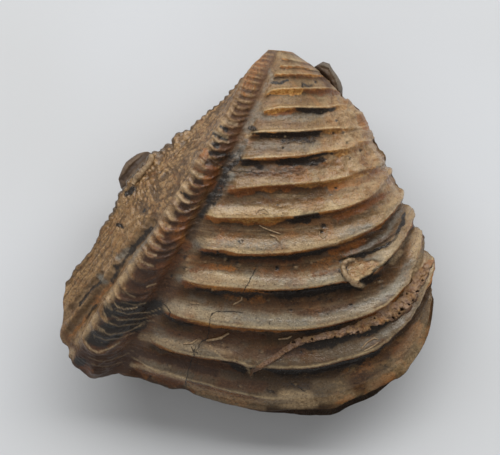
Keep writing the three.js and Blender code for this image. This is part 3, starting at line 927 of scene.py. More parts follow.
# Dark stain, partly painted shade under the crests and in the troughs.
DARK_STAIN_AND_SHADE_STROKES = group_rows("""
13,1 84,362 100,366 126,360;
4,0.35 268,60 262,78 258,96 252,112;
10,0.6 355,382 385,380;
8,0.75 170,244 160,262 146,284 126,302;
5,0.7 268,352 302,351;
5,0.6 222,384 262,386;
4,0.7 165,357 200,362 238,368;
3.5,0.7 236,258 300,261;
4,0.5 196,328 224,334 262,337;
9,0.6 140,286 160,280 172,290;
8,0.7 132,300 150,296;
7,0.5 150,262 168,268;
9,0.5 130,330 140,345 126,356;
3,0.8 100,365 130,372 180,384;
2.5,0.5 62,330 72,344 76,352;
2,0.7 206,405 262,409;
6,0.25 350,300 300,306 250,305;
5,0.4 210,345 240,352 262,356;
4.5,0.85 132,351 150,355 180,364 215,373;
3.5,0.5 170,332 200,338 240,345;
5,0.5 178,222 168,236;
3,0.55 300,313 330,311 352,306;
2.5,0.5 372,343 384,341;
5,0.6 362,364 380,358 398,346;
5,0.6 360,386 374,378;
1.5,0.6 392,362 408,352;
5,0.55 252,172 300,171;
4,0.35 262,150 290,149;
8,0.8 152,266 138,282 126,300;
12,0.6 94,348 116,332 146,316;
3,0.35 256,124 300,124;
6,0.5 246,112 236,130 224,150;
4,0.9 334,189 352,186 366,181;
4,0.6 316,273 340,270;
3,0.6 376,306 392,296;
2.4,0.7 178,319 198,322.5 214,325.5;
3,0.6 320,76 330,86
""")
# Cracks, the two grooves across the area, the ridge between them and the last bar of the carina.
CRACKS = group_rows("""
208,158 212,161 222,167 232,171 242,172 253,172.5 262,175;
256,268 254,272 249.5,280 245,289 240,298;
203,338 193,357 188,370.5 185,387;
210,316 209,330 207.5,338 202,342;
190,346 194,352 200,354;
211,319 212,314 216,312 228,311 244,313;
160,302 166,305 170,312 169,318;
288,382 298,386 307,393
""")
GROOVE_A = groups("""
152,223 147,230 139.5,239 129,250 118,265 110,281 99,293.5 93,304 84,314 76,325 66,337
""")
GROOVE_B = groups("101,275 90,287 82,296 73,308 62,320")
AREA_RIDGE = groups("116,262 104,283 84,302.5 70,321")
LAST_BAR = groups("70,330 84,346 98,355 112,352 128,343 150,338")
# Grains stuck to the flank and small holes in it: centre and half width in pixels.
GRAINS = groups("""
188,260,3 225.5,259,2.2 239.5,265.5,2.6 186.5,270,2 296,267.5,2.2 225.5,320,2 258,320,1.6
279.5,206.5,1.6 380,282,1.8 206,262,1.4 268,300,1.5 311,263,1.3 327,162,2 345,135,2.2 352,160,1.8
338,122,1.6 300,143,1.4 285,137,1.3 366,300,1.4 341,300,1.3 318,274,1.4 262,352,1.5 224,345,1.8
170,366,1.6 240,386,1.5 296,384,1.3 152,378,1.5 212,290,1.3 332,196,1.4 357,188,1.3
""")
HOLES = groups("""
323.5,226,3.1 321.5,232,2.1 277,268.5,2.4 171.5,276,1.8 228,260.5,1.8 245.5,282.5,1.3
290.5,310.5,1.6 217,252,1.4 323,232,1.8 336,188,1.6 320,300,1.6 302,352,1.6 334,133,1.6 347,143,1.8
362,150,1.6 262,335,1.3 355,309,1.5 299,291,1.4 214,345,1.4 283,148,1.4 316,82,1.6 303,86,1.6
248,300,1.3 330,350,1.4 351,305,1.8
""")
# Small rings: centre and radius in pixels.
RINGS = groups("238.4,241.3,2.1 242.9,241.2,2.1 323,226,2.6 268,391,2.4 274,392.5,2.2")
# Creases of the lumpy front edge.
FRONT_CREASES = group_rows("""
341,99 351,107 358,116 365,129;
372,136 378,147 386,159;
345,127 350,134 357,138;
366,146 372,154;
389,171 396,184 401,191;
334,96 333,103;
347,114 356,124
""")
# The broken step across the carina.
CARINA_STEP = groups("196,150 207,157.5 213,161.5 222,167 232,171 250,173")
# Bumps beside the step: centre and half width in pixels, and rise in millimetres.
STEP_BUMPS = groups("203,155,5,0.35 199,165,7,0.45 210,169,8,0.3 183,189,4,0.2")
# The flaky line on from the step, and the chip below the short rib with its rim.
FLAKY_LINE = groups("250,173 275,174 300,175")
CHIP = groups("346,266 355,271 366,271 377,266")
CHIP_RIM = groups("348,259.5 342.5,264 343,271 348,277.5 355,283 361.5,285.5")
# The upper limit of the scurf over the lower front corner.
SCURF_LIMIT = groups("320,392 350,366 378,354 404,336 422,322")
NO_CRACK = 6.0                   # pixels beside a crack at which it isn't seen


def follow_ribs(stains, px, py, reading):
    """The cover of stains that follow ribs."""
    number, phase, begun = reading
    ragged = rough(px / 9, py / 6, 61)
    uneven = 1 + 0.35 * rough(px / 8, py / 20, 62)
    wx = px + 7 * ragged
    cover = np.zeros(px.shape)
    for rib, first, last, begin, end, strength in stains:
        before = (number == rib) & (phase >= 0.4)
        after = (number == rib) & (phase < 0.4) | (number == rib + 1) & (phase >= 0.4)
        beyond = np.where(before, phase - 1, np.where(after, phase, -9)) + 0.03 * ragged
        taper = ease(first - 6, first + 20, px) * ease(last + 6, last - 20, px)
        thick = np.maximum(0.04, (end - begin) * (0.3 + 0.7 * taper) * uneven)
        part = ease(begin - 0.04, begin + 0.04, beyond)
        part = part * ease(thick + 0.07, thick - 0.03, beyond - begin)
        part = part * ease(first - 9, first + 6, wx) * ease(last + 9, last - 6, wx)
        cover = np.maximum(cover, strength * part)
    return cover * begun


def upper_details(placed, masks, reading):
    """Relief and masks of the marks that only the upper valve carries."""
    px, py = np.moveaxis(seen_at(placed), -1, 0)
    relief = np.zeros(px.shape)

    def from_line(points):
        return np.abs(stroke_distance(px, py, points))

    def from_spot(cx, cy):
        return np.hypot(px - cx, py - cy)

    def uneven(swell, seed):
        return rough(px / swell, py / swell, seed)

    def swelling(swell, seed):
        return noise(px / swell, py / swell, seed)

    def at_least(name, values):
        masks[name] = np.maximum(masks[name], values)

    # Two grooves across the area that open towards the margin, with a ridge between them.
    first = np.abs(stroke_distance(px, py, GROOVE_A) + 0.8 * swelling(6, 75))
    second = np.abs(stroke_distance(px, py, GROOVE_B) + 0.8 * swelling(6, 76))
    relief -= 0.6 * ease(6, 1.5, first) + 0.5 * ease(5, 1.5, second)
    relief += 0.35 * ease(6, 1, from_line(AREA_RIDGE))
    relief += 0.3 * masks.pop("tubercle") * ease(300, 230, py)
    smooth = np.maximum(ease(7, 4, first), ease(5, 3, second))
    masks["granules"] *= 1 - 0.9 * smooth
    at_least("bead", 0.8 * smooth)
    at_least("furrow", 0.75 * smooth)

    # The broken step across the carina.
    over = stroke_distance(px, py, CARINA_STEP)
    near = ease(24, 6, from_spot(206, 166))
    relief += 0.45 * near * ease(0, 2.5, over) - 0.3 * near * ease(0.5, -2, over)
    for cx, cy, half, rise in STEP_BUMPS:
        relief += rise * ease(half, 0.2 * half, from_spot(cx, cy) + 0.8 * uneven(3, 77))
    relief += 0.12 * rough(px / 3, py / 2, 71) * ease(5, 2, from_line(FLAKY_LINE))

    # The chip below the short rib, with a ragged floor and a raised rim on its left.
    width = np.interp(px, [342, 350, 362, 370, 380], [5, 9, 11, 8, 4])
    inside = ease(1.12, 0.85, from_line(CHIP) / width + 0.12 * uneven(4, 72))
    relief = relief - inside * (0.3 + 0.14 * uneven(6, 73) + 0.03 * swelling(1.3, 74))
    rim = ease(3.4, 0.8, from_line(CHIP_RIM))
    relief += 0.5 * rim

    # Scurf over the flank's lower front corner, and small craters over the rest of the flank.
    below = py - np.interp(px, *zip(*SCURF_LIMIT))
    scurf = ease(318, 350, px + 5 * uneven(9, 78)) * ease(-4, 4, below)
    relief += scurf * (0.11 * uneven(4, 79) + 0.07 * uneven(1.4, 80))
    here = ease(0.05, 0.35, swelling(22, 92)) * ease(120, 180, py)
    craters = pits(px / 8, py / 8, 91, 0.06, 0.17) * here * reading[2]
    relief -= 0.16 * craters

    # The lumpy, creased front edge, painted lighter where the light falls on it, with painted shade in
    # its creases.
    lumpy = 0.5 * ease(345, 375, px) * ease(165, 190, py) * (1 - scurf)
    lumpy = ease(322, 342, px) * ease(190, 165, py) + lumpy
    relief += lumpy * (0.22 * uneven(6, 96) + 0.08 * uneven(2.2, 97))
    relief -= 0.75 * ease(274, 288, px) * ease(318, 298, px) * ease(72, 60, py)
    folds = np.zeros(px.shape)
    for points in FRONT_CREASES:
        folds = np.maximum(folds, ease(2.6, 0.4, from_line(points) + 0.5 * uneven(3, 99)))
    relief -= 0.26 * folds
    masks["scurf"] = scurf
    # The sunny mask is painted light over the upper front, and there it thins the painted trough shade
    # and the steep faces' colour.
    sunny = ease(316, 346, px + 9 * uneven(11, 98)) * ease(214, 180, py) * ease(84, 100, py)
    masks["sunny"] = sunny
    masks["trough"] *= 1 - 0.8 * sunny
    masks["steep"] *= 1 - 0.6 * sunny

    # Fine ridges under the last bar, and a rough groove beside the bars.
    below = stroke_distance(px, py, LAST_BAR)
    ridged = ease(-1, 3, below) * ease(135, 118, px)
    relief += 0.07 * ridged * np.sin(2.3 * below + 2 * swelling(12, 93))
    relief += 0.1 * masks["furrow"] * uneven(3, 94)

    # Stains, grains, rings and holes. The black and dark stains also hold painted shade, and the pale
    # marks painted glints.
    masks["pale"] = np.maximum(strokes_mask(px, py, PALE_MARK_AND_GLINT_STROKES, 34, 0.45), 0.9 * rim)
    masks["ink"] = follow_ribs(RIB_BLACK_STAIN_AND_SHADE, px, py, reading)
    at_least("ink", strokes_mask(px, py, BLACK_STAIN_AND_SHADE_STROKES, 31))
    for cx, cy, half in GRAINS:
        grain = ease(1.1, 0.5, from_spot(cx, cy) / half)
        relief += 0.22 * grain
        at_least("pale", 0.4 * grain)
        behind = ease(1.2, 0.7, np.hypot(px - cx + 0.9 * half, py - cy + 0.9 * half) / half)
        at_least("ink", 0.6 * behind * (1 - grain))
    for cx, cy, radius in RINGS:
        away = from_spot(cx, cy)
        around = np.abs(away - radius)
        relief += 0.1 * ease(1.1, 0.2, around)
        craters = np.maximum(craters, 1.3 * ease(0.7 * radius, 0.4 * radius, away))
        craters = np.maximum(craters, 0.8 * ease(0.5, 0.1, np.abs(around - 0.9)))
    for cx, cy, half in HOLES:
        hole = ease(1.25, 0.6, from_spot(cx, cy) / half)
        relief -= 0.22 * hole
        craters = np.maximum(craters, 1.2 * hole)
    at_least("ink", 0.6 * craters)
    masks["amber"] = follow_ribs(RIB_AMBER, px, py, reading)
    at_least("amber", strokes_mask(px, py, AMBER_STROKES, 33))
    masks["gold"] = follow_ribs(RIB_GOLD, px, py, reading)
    masks["steel"] = strokes_mask(px, py, GREY_STAIN_AND_SHEEN_STROKES, 32)
    # Dark stain and painted shade, with painted shade in the front edge's creases.
    masks["dark"] = np.maximum(strokes_mask(px, py, DARK_STAIN_AND_SHADE_STROKES, 36), 0.6 * folds)
    masks["worn"] = inside

    beside = np.full(px.shape, NO_CRACK)
    for points in CRACKS:
        gap = stroke_distance(px, py, points)
        ends = np.minimum(from_spot(*points[0]), from_spot(*points[-1]))
        nearer = (np.abs(gap) < ends - 0.3) & (np.abs(gap) < np.abs(beside))
        beside = np.where(nearer, gap, beside)
    masks["crack"] = np.clip(beside, -NO_CRACK, NO_CRACK)
    # Darker towards the bottom of the valve.
    masks["dim"] = 0.82 * ease(292, 385, py + 0.12 * (px - 250))
    return relief, masks


# ---- Valve grids -------------------------------------------------------------------------------

CURL_ROWS = 8           # rows in which the beak curls in to the hinge


def way_axis(rows):
    """The way of each row, and how far it is curled in to the hinge."""
    body = rows - CURL_ROWS
    ways = np.concatenate([np.zeros(CURL_ROWS), np.linspace(0, 1, body) ** WAY_CROWDING])
    return ways, np.concatenate([np.linspace(1, 0, CURL_ROWS, endpoint=False), np.zeros(body)])


def valve_grid(depth, lip, side, rows, lanes, details):
    """Points of a finished valve in millimetres, with its masks."""
    ways, curl = way_axis(rows)
    way = ways[:, None]
    curled = curl[:, None]
    form = smooth_form(way, lanes, depth, lip)
    form[..., :2] += trim(ways, lanes)
    plan = mix(form[..., :2], np.array(HINGE), curled[..., None] ** 2)
    form = np.concatenate([plan, form[..., 2:] * (1 - curled[..., None])], -1)
    on_plane = form[..., 2] < 1e-6

    lane = lanes[None, :]
    relief, masks, reading = ornament(way, lane)
    x, y = form[..., 0], form[..., 1]
    quiet = ease(0, 0.04, 1 - way) * ease(0, 0.1, way)
    grain = 0.06 * rough(x * 0.8, y * 0.8, 21) + 0.04 * rough(x * 2.4, y * 2.4, 22)
    striae = 0.02 * noise(way * 240, lane * 5, 23) + 0.03 * noise(way * 90, lane * 3, 24)
    relief = relief + (grain + striae) * quiet + 0.03 * (masks["streak"] - 0.5) * quiet
    if details:
        rough_place = place(form + outward_of(form) * relief[..., None], side)
        more, masks = details(rough_place, masks, reading)
        relief = relief + more * quiet
    masks.pop("tubercle", None)
    relief = (relief + masks.pop("granules")) * (1 - curled)
    points = form + outward_of(form) * relief[..., None]
    points[..., 2] = np.where(on_plane, 0, np.maximum(points[..., 2], 0))
    return place(points, side), masks


# ---- Meshes ------------------------------------------------------------------------------------


def mesh_piece(name, points, faces, masks, material):
    """A smooth piece from points in millimetres, with its masks as attributes of the points."""
    mesh = bpy.data.meshes.new(name)
    mesh.from_pydata((points * METRES).tolist(), [], faces)
    for mask, values in masks.items():
        attribute = mesh.attributes.new(mask, "FLOAT", "POINT")
        attribute.data.foreach_set("value", np.ascontiguousarray(values, dtype=np.float32).ravel())
    mesh.polygons.foreach_set("use_smooth", [True] * len(mesh.polygons))
    mesh.materials.append(material)
    mesh.update()
    piece = bpy.data.objects.new(name, mesh)
    bpy.context.scene.collection.objects.link(piece)
    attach(piece, "root")
    return piece


def grid_faces(rows, columns, flip):
    """Four-sided faces between the points of a grid."""
    r, c = np.meshgrid(np.arange(rows - 1), np.arange(columns - 1), indexing="ij")
    first = (r * columns + c).ravel()
    quads = np.stack([first, first + columns, first + columns + 1, first + 1], -1)
    return quads[:, ::-1] if flip else quads


def closed_valve(name, placed, masks, side, material):
    """The grid with its flat face on the meeting plane, as one closed mesh."""
    rows, columns = placed.shape[:2]
    points = placed.reshape(-1, 3)
    quads = grid_faces(rows, columns, side < 0)
    # The first row is one point, the hinge: its vertices are joined.
    quads = np.where(quads < columns, 0, quads)
    faces = [[int(i) for n, i in enumerate(q) if i != q[n - 1]] for q in quads[:columns - 1]]
    faces += quads[columns - 1:].tolist()
    rim = [r * columns for r in range(rows)]
    rim += [(rows - 1) * columns + c for c in range(1, columns)]
    rim += [r * columns + columns - 1 for r in range(rows - 2, 0, -1)]
    faces.append(rim if side < 0 else rim[::-1])
    keep = np.ones(len(points), bool)
    keep[1:columns] = False
    new_index = np.cumsum(keep) - 1
    faces = [[int(new_index[i]) for i in face] for face in faces]
    values = {k: v.reshape(-1)[keep] for k, v in masks.items()}
    return mesh_piece(name, points[keep], faces, values, material)


# ---- Finishes ----------------------------------------------------------------------------------


def srgb(r, g, b):
    """A colour given as seen, 0 to 255, turned into light values."""
    light = (((c / 255 + 0.055) / 1.055) ** 2.4 if c > 10 else c / 255 / 12.92 for c in (r, g, b))
    return (*light, 1)


CREAM = srgb(188, 164, 124)
TAN = srgb(144, 112, 72)
TAUPE = srgb(104, 84, 60)
BROWN = srgb(90, 62, 36)
OLIVE = srgb(72, 56, 34)
AMBER = srgb(130, 86, 36)
RED_BROWN = srgb(92, 53, 26)
DARK = srgb(43, 26, 13)
INK = srgb(25, 18, 13)
RUST = srgb(150, 100, 56)
SLATE = srgb(106, 106, 102)
STEEL = srgb(112, 111, 103)
PINK_BROWN = srgb(146, 122, 104)


class Finish:
    """A small builder of a node material."""

    def __init__(self, name):
        self.material = bpy.data.materials.new(name)
        self.material.use_nodes = True
        self.nodes = self.material.node_tree.nodes
        self.links = self.material.node_tree.links
        self.nodes.clear()
        output = self.nodes.new("ShaderNodeOutputMaterial")
        self.shader = self.nodes.new("ShaderNodeBsdfPrincipled")
        self.links.new(self.shader.outputs["BSDF"], output.inputs["Surface"])
        self.place = self.nodes.new("ShaderNodeTexCoord").outputs["Object"]
        self.ragged = None

    def put(self, node, **values):
        """Set a node's inputs, by names with _ for a space, to values or to what other nodes give."""
        for name, value in values.items():
            self.feed(node.inputs[name.replace("_", " ")], value)

    def feed(self, socket, value):
        if isinstance(value, bpy.types.NodeSocket):
            self.links.new(value, socket)
        else:
            socket.default_value = value

    def mask(self, name):
        node = self.nodes.new("ShaderNodeAttribute")
        node.attribute_name = name
        return node.outputs["Fac"]

    def noise(self, per_mm, detail=3, roughness=0.55, distortion=0.0):
        node = self.nodes.new("ShaderNodeTexNoise")
        self.put(node, Vector=self.place, Scale=per_mm / METRES, Detail=detail,
                 Roughness=roughness, Distortion=distortion)
        return node.outputs["Fac"]

    def math(self, operation, a, b=0.0):
        node = self.nodes.new("ShaderNodeMath")
        node.operation = operation
        self.feed(node.inputs[0], a)
        self.feed(node.inputs[1], b)
        return node.outputs[0]

    def span(self, value, low, high, to_low=0.0, to_high=1.0):
        """A value eased from one range to another."""
        node = self.nodes.new("ShaderNodeMapRange")
        node.interpolation_type = "SMOOTHSTEP"
        self.put(node, Value=value, From_Min=low, From_Max=high, To_Min=to_low, To_Max=to_high)
        return node.outputs["Result"]

    def by(self, name, share):
        """The named mask times a share."""
        return self.math("MULTIPLY", self.mask(name), share)

    def patch(self, name, share=1.0, low=0.28, high=0.86, broken=1.5):
        """The named mask with a crisp, broken edge."""
        if self.ragged is None:
            self.ragged = self.noise(2.0, 5, 0.7, 0.4)
        edge = self.math("MULTIPLY", self.math("SUBTRACT", self.ragged, 0.5), broken)
        return self.span(self.math("ADD", self.mask(name), edge), low, high, 0, share)

    def blend(self, share, a, b, kind="MIX"):
        node = self.nodes.new("ShaderNodeMix")
        node.data_type = "RGBA"
        node.blend_type = kind
        # The colour sockets of this node are its seventh and eighth inputs and third output.
        self.feed(node.inputs[0], share)
        self.feed(node.inputs[6], a)
        self.feed(node.inputs[7], b)
        return node.outputs[2]

    def paint(self, colour, *coats):
        """A colour under coats of others, each given as its tone and where it lies.

        Where it lies is a share, the name of a mask, with a share of it if that isn't all, or a
        source with the values from which and to which it brings the coat in, up to a share.
        """
        for tone, where, *how in coats:
            if isinstance(where, str):
                where = self.by(where, *how) if how else self.mask(where)
            elif how:
                where = self.brought_in(where, *how)
            colour = self.blend(where, colour, tone)
        return colour

    def brought_in(self, source, low, high, share=1.0, least=0.0):
        """A share that grows from the least one as the source goes from low to high."""
        return self.span(source, low, high, least, share)

    def finish(self, colour, roughness, heights, specular=0.5):
        """Join colour, roughness and bumps of (height, distance in millimetres, strength)."""
        normal = None
        for height, distance, strength in heights:
            bump = self.nodes.new("ShaderNodeBump")
            self.put(bump, Strength=strength, Distance=distance * METRES, Height=height)
            if normal is not None:
                self.put(bump, Normal=normal)
            normal = bump.outputs["Normal"]
        self.put(self.shader, Base_Color=colour, Roughness=roughness, Normal=normal,
                 Specular_IOR_Level=specular)
        return self.material


def shell_finish(name, tone):
    """Brown fossil shell: painted light on the ribs' upper slopes and crests, rusty steep faces,
    painted shade in the troughs, stains and a beaded area.
    """
    f = Finish(name)
    broad = f.noise(0.11, 3)
    mottle = f.noise(0.5, 4, 0.6, 0.6)
    grain = f.noise(2.0, 3, 0.6)
    speck = f.noise(4.5, 2, 0.5)
    streak = f.mask("streak")

    def by_mottle(least, most, low=0.3, high=0.6):
        return f.span(mottle, low, high, least, most)

    def by_grain(least, most, low=0.3, high=0.7):
        return f.span(grain, low, high, least, most)

    slate = f.span(f.noise(0.29, 4, 0.6, 0.6), 0.56, 0.7, 0, 0.4)
    slate = f.math("MULTIPLY", slate, f.span(f.mask("beak"), 0, 1, 1, 0.2))
    # The rusty brow and steep-face colour, painted lighter to stand in for the light on those faces.
    lip = f.paint(
        srgb(178, 118, 54),
        (srgb(120, 64, 28), f.noise(0.16, 3, 0.55, 0.5), 0.42, 0.58),
        (TAN, grain, 0.4, 0.7, 0.5),
        (TAN, "beak", 0.5))
    # The ribs, with painted light on their upper slopes, a painted grey sheen on the lower ones and
    # painted shade in their troughs.
    ribs = f.paint(
        BROWN,
        (TAUPE, mottle, 0.35, 0.65),
        (OLIVE, broad, 0.45, 0.65, 0.6),
        (TAN, grain, 0.5, 0.75, 0.35),
        (f.paint(CREAM, (TAN, broad, 0.4, 0.6)), "lit_band", by_mottle(0.45, 1.0, 0.2)),
        (srgb(148, 139, 122), "slope_sheen", by_mottle(0.3, 0.75)),
        (TAN, "front", by_mottle(0.2, 0.6)),
        (RUST, f.noise(0.21, 3, 0.55, 0.8), 0.52, 0.66, 0.45),
        (SLATE, slate),
        (srgb(180, 146, 94), "beak", 0.18),
        (BROWN, f.noise(1.0, 4, 0.65, 0.3), 0.5, 0.66, 0.4),
        (RED_BROWN, streak, 0.55, 0.95, 0.22),
        (CREAM, streak, 0.4, 0.1, 0.15),
        (RED_BROWN, "steep", f.span(broad, 0.3, 0.6, 0.5, 1.0)),
        (DARK, "trough", by_mottle(0.6, 0.98, 0.3, 0.7)),
        (lip, "lip", by_mottle(0.6, 0.95, 0.25, 0.5)))
    bar = f.paint(
        TAN,
        (srgb(176, 148, 110), mottle, 0.35, 0.6),
        (BROWN, grain, 0.5, 0.75, 0.3))
    keel = f.paint(
        BROWN,
        (RED_BROWN, mottle, 0.35, 0.65),
        (TAN, streak, 0.55, 0.85, 0.5),
        (DARK, 0.2),
        # The bars' pale ends, painted lighter where lit, and painted shade in the gaps under them.
        (bar, "bar", 0.72),
        (DARK, "gap", 0.85),
        (srgb(96, 68, 42), "beak", 0.3))
    strip = f.paint(
        srgb(112, 84, 54),
        (srgb(160, 132, 96), mottle, 0.4, 0.62),
        (BROWN, grain, 0.45, 0.7, 0.5))
    area = f.paint(
        srgb(104, 76, 46),
        (srgb(156, 124, 84), grain, 0.25, 0.6),
        (AMBER, mottle, 0.45, 0.65, 0.4),
        # Painted shade between the beads and painted highlights on their tops.
        (DARK, f.mask("bead"), 0.0, 0.45, 0.0, 0.6),
        (srgb(180, 150, 112), f.mask("bead"), 0.6, 1.0, 0.5),
        (srgb(124, 78, 46), f.noise(0.7, 3, 0.6, 0.4), 0.54, 0.68, 0.3),
        (DARK, 0.18))
    scurf = f.paint(
        srgb(76, 62, 42),
        (srgb(124, 96, 60), f.noise(0.22, 4, 0.65, 0.5), 0.42, 0.58),
        (srgb(148, 98, 52), f.noise(0.34, 4, 0.6, 0.4), 0.53, 0.64, 0.7),
        (srgb(160, 132, 92), grain, 0.45, 0.75, 0.5),
        (DARK, f.noise(0.8, 4, 0.65), 0.54, 0.66, 0.75))
    sunny = f.paint(srgb(140, 100, 60), (srgb(174, 146, 110), mottle, 0.4, 0.6))
    rusty = f.paint(
        srgb(146, 92, 40),
        (srgb(104, 60, 27), broad, 0.42, 0.58),
        (srgb(78, 42, 20), grain, 0.5, 0.75, 0.4))
    golden = f.paint(
        srgb(144, 96, 42),
        (srgb(178, 134, 74), grain, 0.4, 0.7),
        (srgb(104, 68, 38), streak, 0.5, 0.8, 0.5))
    worn = f.paint(
        srgb(150, 108, 66),
        (srgb(172, 144, 106), f.noise(0.9, 3, 0.6), 0.4, 0.6),
        (BROWN, speck, 0.52, 0.66, 0.5))
    wander = f.span(f.noise(1.2, 2), 0.2, 0.8, -0.8, 0.8)
    beside_crack = f.math("ABSOLUTE", f.math("ADD", f.mask("crack"), wander))
    # Coats over the shell: the dark and black stains also hold painted shade, the blue-grey stain a
    # painted sheen, the pale marks painted glints and the crests a painted highlight.
    colour = f.paint(
        ribs,
        (keel, "keel"),
        (strip, "strip"),
        (area, "area"),
        (srgb(72, 64, 54), "rim", 0.75),
        (DARK, "furrow", by_mottle(0.4, 0.85, 0.3, 0.7)),
        (srgb(58, 41, 23), "dim"),
        (scurf, "scurf", 0.75),
        (RED_BROWN, "dark", by_grain(0.7, 1.0)),
        (DARK, f.patch("dark", 0.72)),
        (STEEL, "steel", by_grain(0.4, 0.9)),
        (srgb(120, 118, 110), f.patch("steel", 0.25)),
        (sunny, "sunny", by_grain(0.3, 0.7, 0.25, 0.6)),
        (rusty, f.patch("amber", 0.88, 0.16, 0.84)),
        (golden, f.patch("gold", 0.85, 0.3, 0.62, 0.7)),
        (worn, "worn", 0.8),
        (INK, "ink", 0.5),
        (INK, f.patch("ink", 0.95, 0.26, 0.76)),
        (srgb(172, 148, 114), "pale", by_grain(0.45, 1.0)),
        (CREAM, "crest", by_mottle(0.25, 0.8, 0.3, 0.7)),
        (DARK, speck, 0.6, 0.68, 0.6),
        (CREAM, f.noise(3.2, 3, 0.6), 0.63, 0.76, 0.3),
        (INK, beside_crack, 0.2, 0.75, 0.0, 0.9))
    uneven = f.span(f.noise(2.8, 4, 0.78), 0.32, 0.68, 0.82, 1.18)
    colour = f.blend(1.0, colour, uneven, "MULTIPLY")
    if tone < 1:
        colour = f.blend(1 - tone, colour, DARK)

    roughness = by_mottle(0.2, 0.38, 0.3, 0.7)
    for mask, rougher in (("furrow", 0.3), ("dark", 0.25), ("beak", 0.18), ("scurf", 0.2)):
        roughness = f.math("ADD", roughness, f.by(mask, rougher))
    roughness = f.math("SUBTRACT", roughness, f.by("ink", 0.08))
    heights = [(f.noise(1.4, 4, 0.6), 0.15, 0.5), (grain, 0.14, 0.75), (speck, 0.09, 0.8)]
    sheltered = f.math("MAXIMUM", f.mask("steep"), f.mask("trough"))
    return f.finish(colour, roughness, heights, f.span(sheltered, 0, 1, 0.5, 0.2))


def crust_finish():
    """Pale pinkish-brown worm crust with dark pits and painted shade on its lower side."""
    f = Finish("worm_crust")
    grain = f.noise(2.6, 3, 0.6)
    colour = f.paint(
        PINK_BROWN,
        (TAN, f.noise(0.8, 3, 0.6), 0.35, 0.65),
        (srgb(104, 76, 56), grain, 0.45, 0.7, 0.6),
        (srgb(92, 64, 46), f.noise(1.3, 3, 0.6), 0.52, 0.64, 0.75),
        (RUST, f.noise(0.5, 2), 0.5, 0.7, 0.5),
        (srgb(44, 27, 19), "pit"),
        # Painted shade down the crust's lower side, and a browner left end.
        (srgb(74, 48, 32), "flank"))
    return f.finish(colour, 0.62, [(grain, 0.12, 0.6), (f.noise(5, 2), 0.05, 0.5)], 0.35)


def lump_finish():
    """Dull dark brown lump with a greyer rim and painted shade in its hollows."""
    f = Finish("dark_lump")
    grain = f.noise(2.2, 3, 0.6)
    colour = f.paint(
        srgb(78, 60, 44),
        (srgb(100, 82, 64), f.noise(0.45, 4, 0.6), 0.35, 0.65),
        # Painted shade in the lump's hollows.
        (srgb(52, 36, 26), "hollow"),
        (STEEL, "light"),
        (DARK, grain, 0.55, 0.75, 0.5))
    return f.finish(colour, 0.55, [(f.noise(1.0, 4, 0.6), 0.2, 0.5), (grain, 0.06, 0.5)], 0.4)


def tube_finish():
    """Plain pale brown worm tube."""
    f = Finish("worm_tube")
    grain = f.noise(2.4, 3)
    colour = f.paint(srgb(118, 92, 64), (srgb(150, 128, 98), grain, 0.35, 0.65))
    return f.finish(colour, 0.5, [(grain, 0.05, 0.5)])


def paper_finish():
    """Nearly white paper, faintly uneven."""
    f = Finish("paper")
    colour = f.paint(srgb(208, 212, 218), (srgb(203, 206, 210), f.noise(0.012, 2), 0.35, 0.65))
    return f.finish(colour, 0.85, [(f.noise(0.9, 4), 0.05, 0.2)], 0.2)


# ---- Pieces ------------------------------------------------------------------------------------

UPPER_ROWS, LOWER_ROWS = 388, 300
UPPER_LANES = lane_axis(8, 66, 42, 106, 28)
LOWER_LANES = lane_axis(8, 40, 24, 90, 22)


def upper_valve():
    """The upper valve. What comes back finds places on its surface."""
    placed, masks = valve_grid(UPPER_DEPTH, 0, 1, UPPER_ROWS, UPPER_LANES, upper_details)
    finish = shell_finish("upper_shell", 1)
    piece = closed_valve("upper_valve", placed, masks, 1, finish)
    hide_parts("right_valve")
    faces = grid_faces(*placed.shape[:2], False).tolist()
    return BVHTree.FromPolygons(placed.reshape(-1, 3).tolist(), faces)


def lower_valve():
    """The lower valve, a plainer mirror twin of the upper one."""
    placed, masks = valve_grid(LOWER_DEPTH, LOWER_LIP, -1, LOWER_ROWS, LOWER_LANES, None)
    # The front edge is drawn in a little, so that it doesn't show past the upper valve.
    placed[..., 0] -= 0.4 * ease(21, 28, placed[..., 0])
    for name in ("ink", "steel", "amber", "pale", "dark", "worn", "dim"):
        masks[name] = np.zeros(placed.shape[:2])
    masks["crack"] = np.full(placed.shape[:2], NO_CRACK)
    finish = shell_finish("lower_shell", 0.6)
    piece = closed_valve("lower_valve", placed, masks, -1, finish)
    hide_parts("left_valve")


def on_shell(tree, px, py):
    """Where the shell is met under a pixel, and the direction out of it there."""
    eye = Vector(CAMERA_PLACE)
    target = Vector((*under_pixel(px, py), MARGIN_HEIGHT))
    met, normal, _, _ = tree.ray_cast(eye, (target - eye).normalized())
    if met is None:
        met, normal, _, _ = tree.find_nearest(target)
    return met, -normal if normal.z < 0 else normal


def closed_loft(name, rings, masks, material):
    """A closed mesh through rings of points, given as [rings, points, 3], with its ends filled."""
    count, around = rings.shape[:2]
    r, c = np.meshgrid(np.arange(count - 1), np.arange(around), indexing="ij")
    first = (r * around + c).ravel()
    second = (r * around + (c + 1) % around).ravel()
    faces = np.stack([first, second, second + around, first + around], -1).tolist()
    faces.append(list(range(around))[::-1])
    faces.append([(count - 1) * around + c for c in range(around)])
    values = {k: v.reshape(-1) for k, v in masks.items()}
    return mesh_piece(name, rings.reshape(-1, 3), faces, values, material)


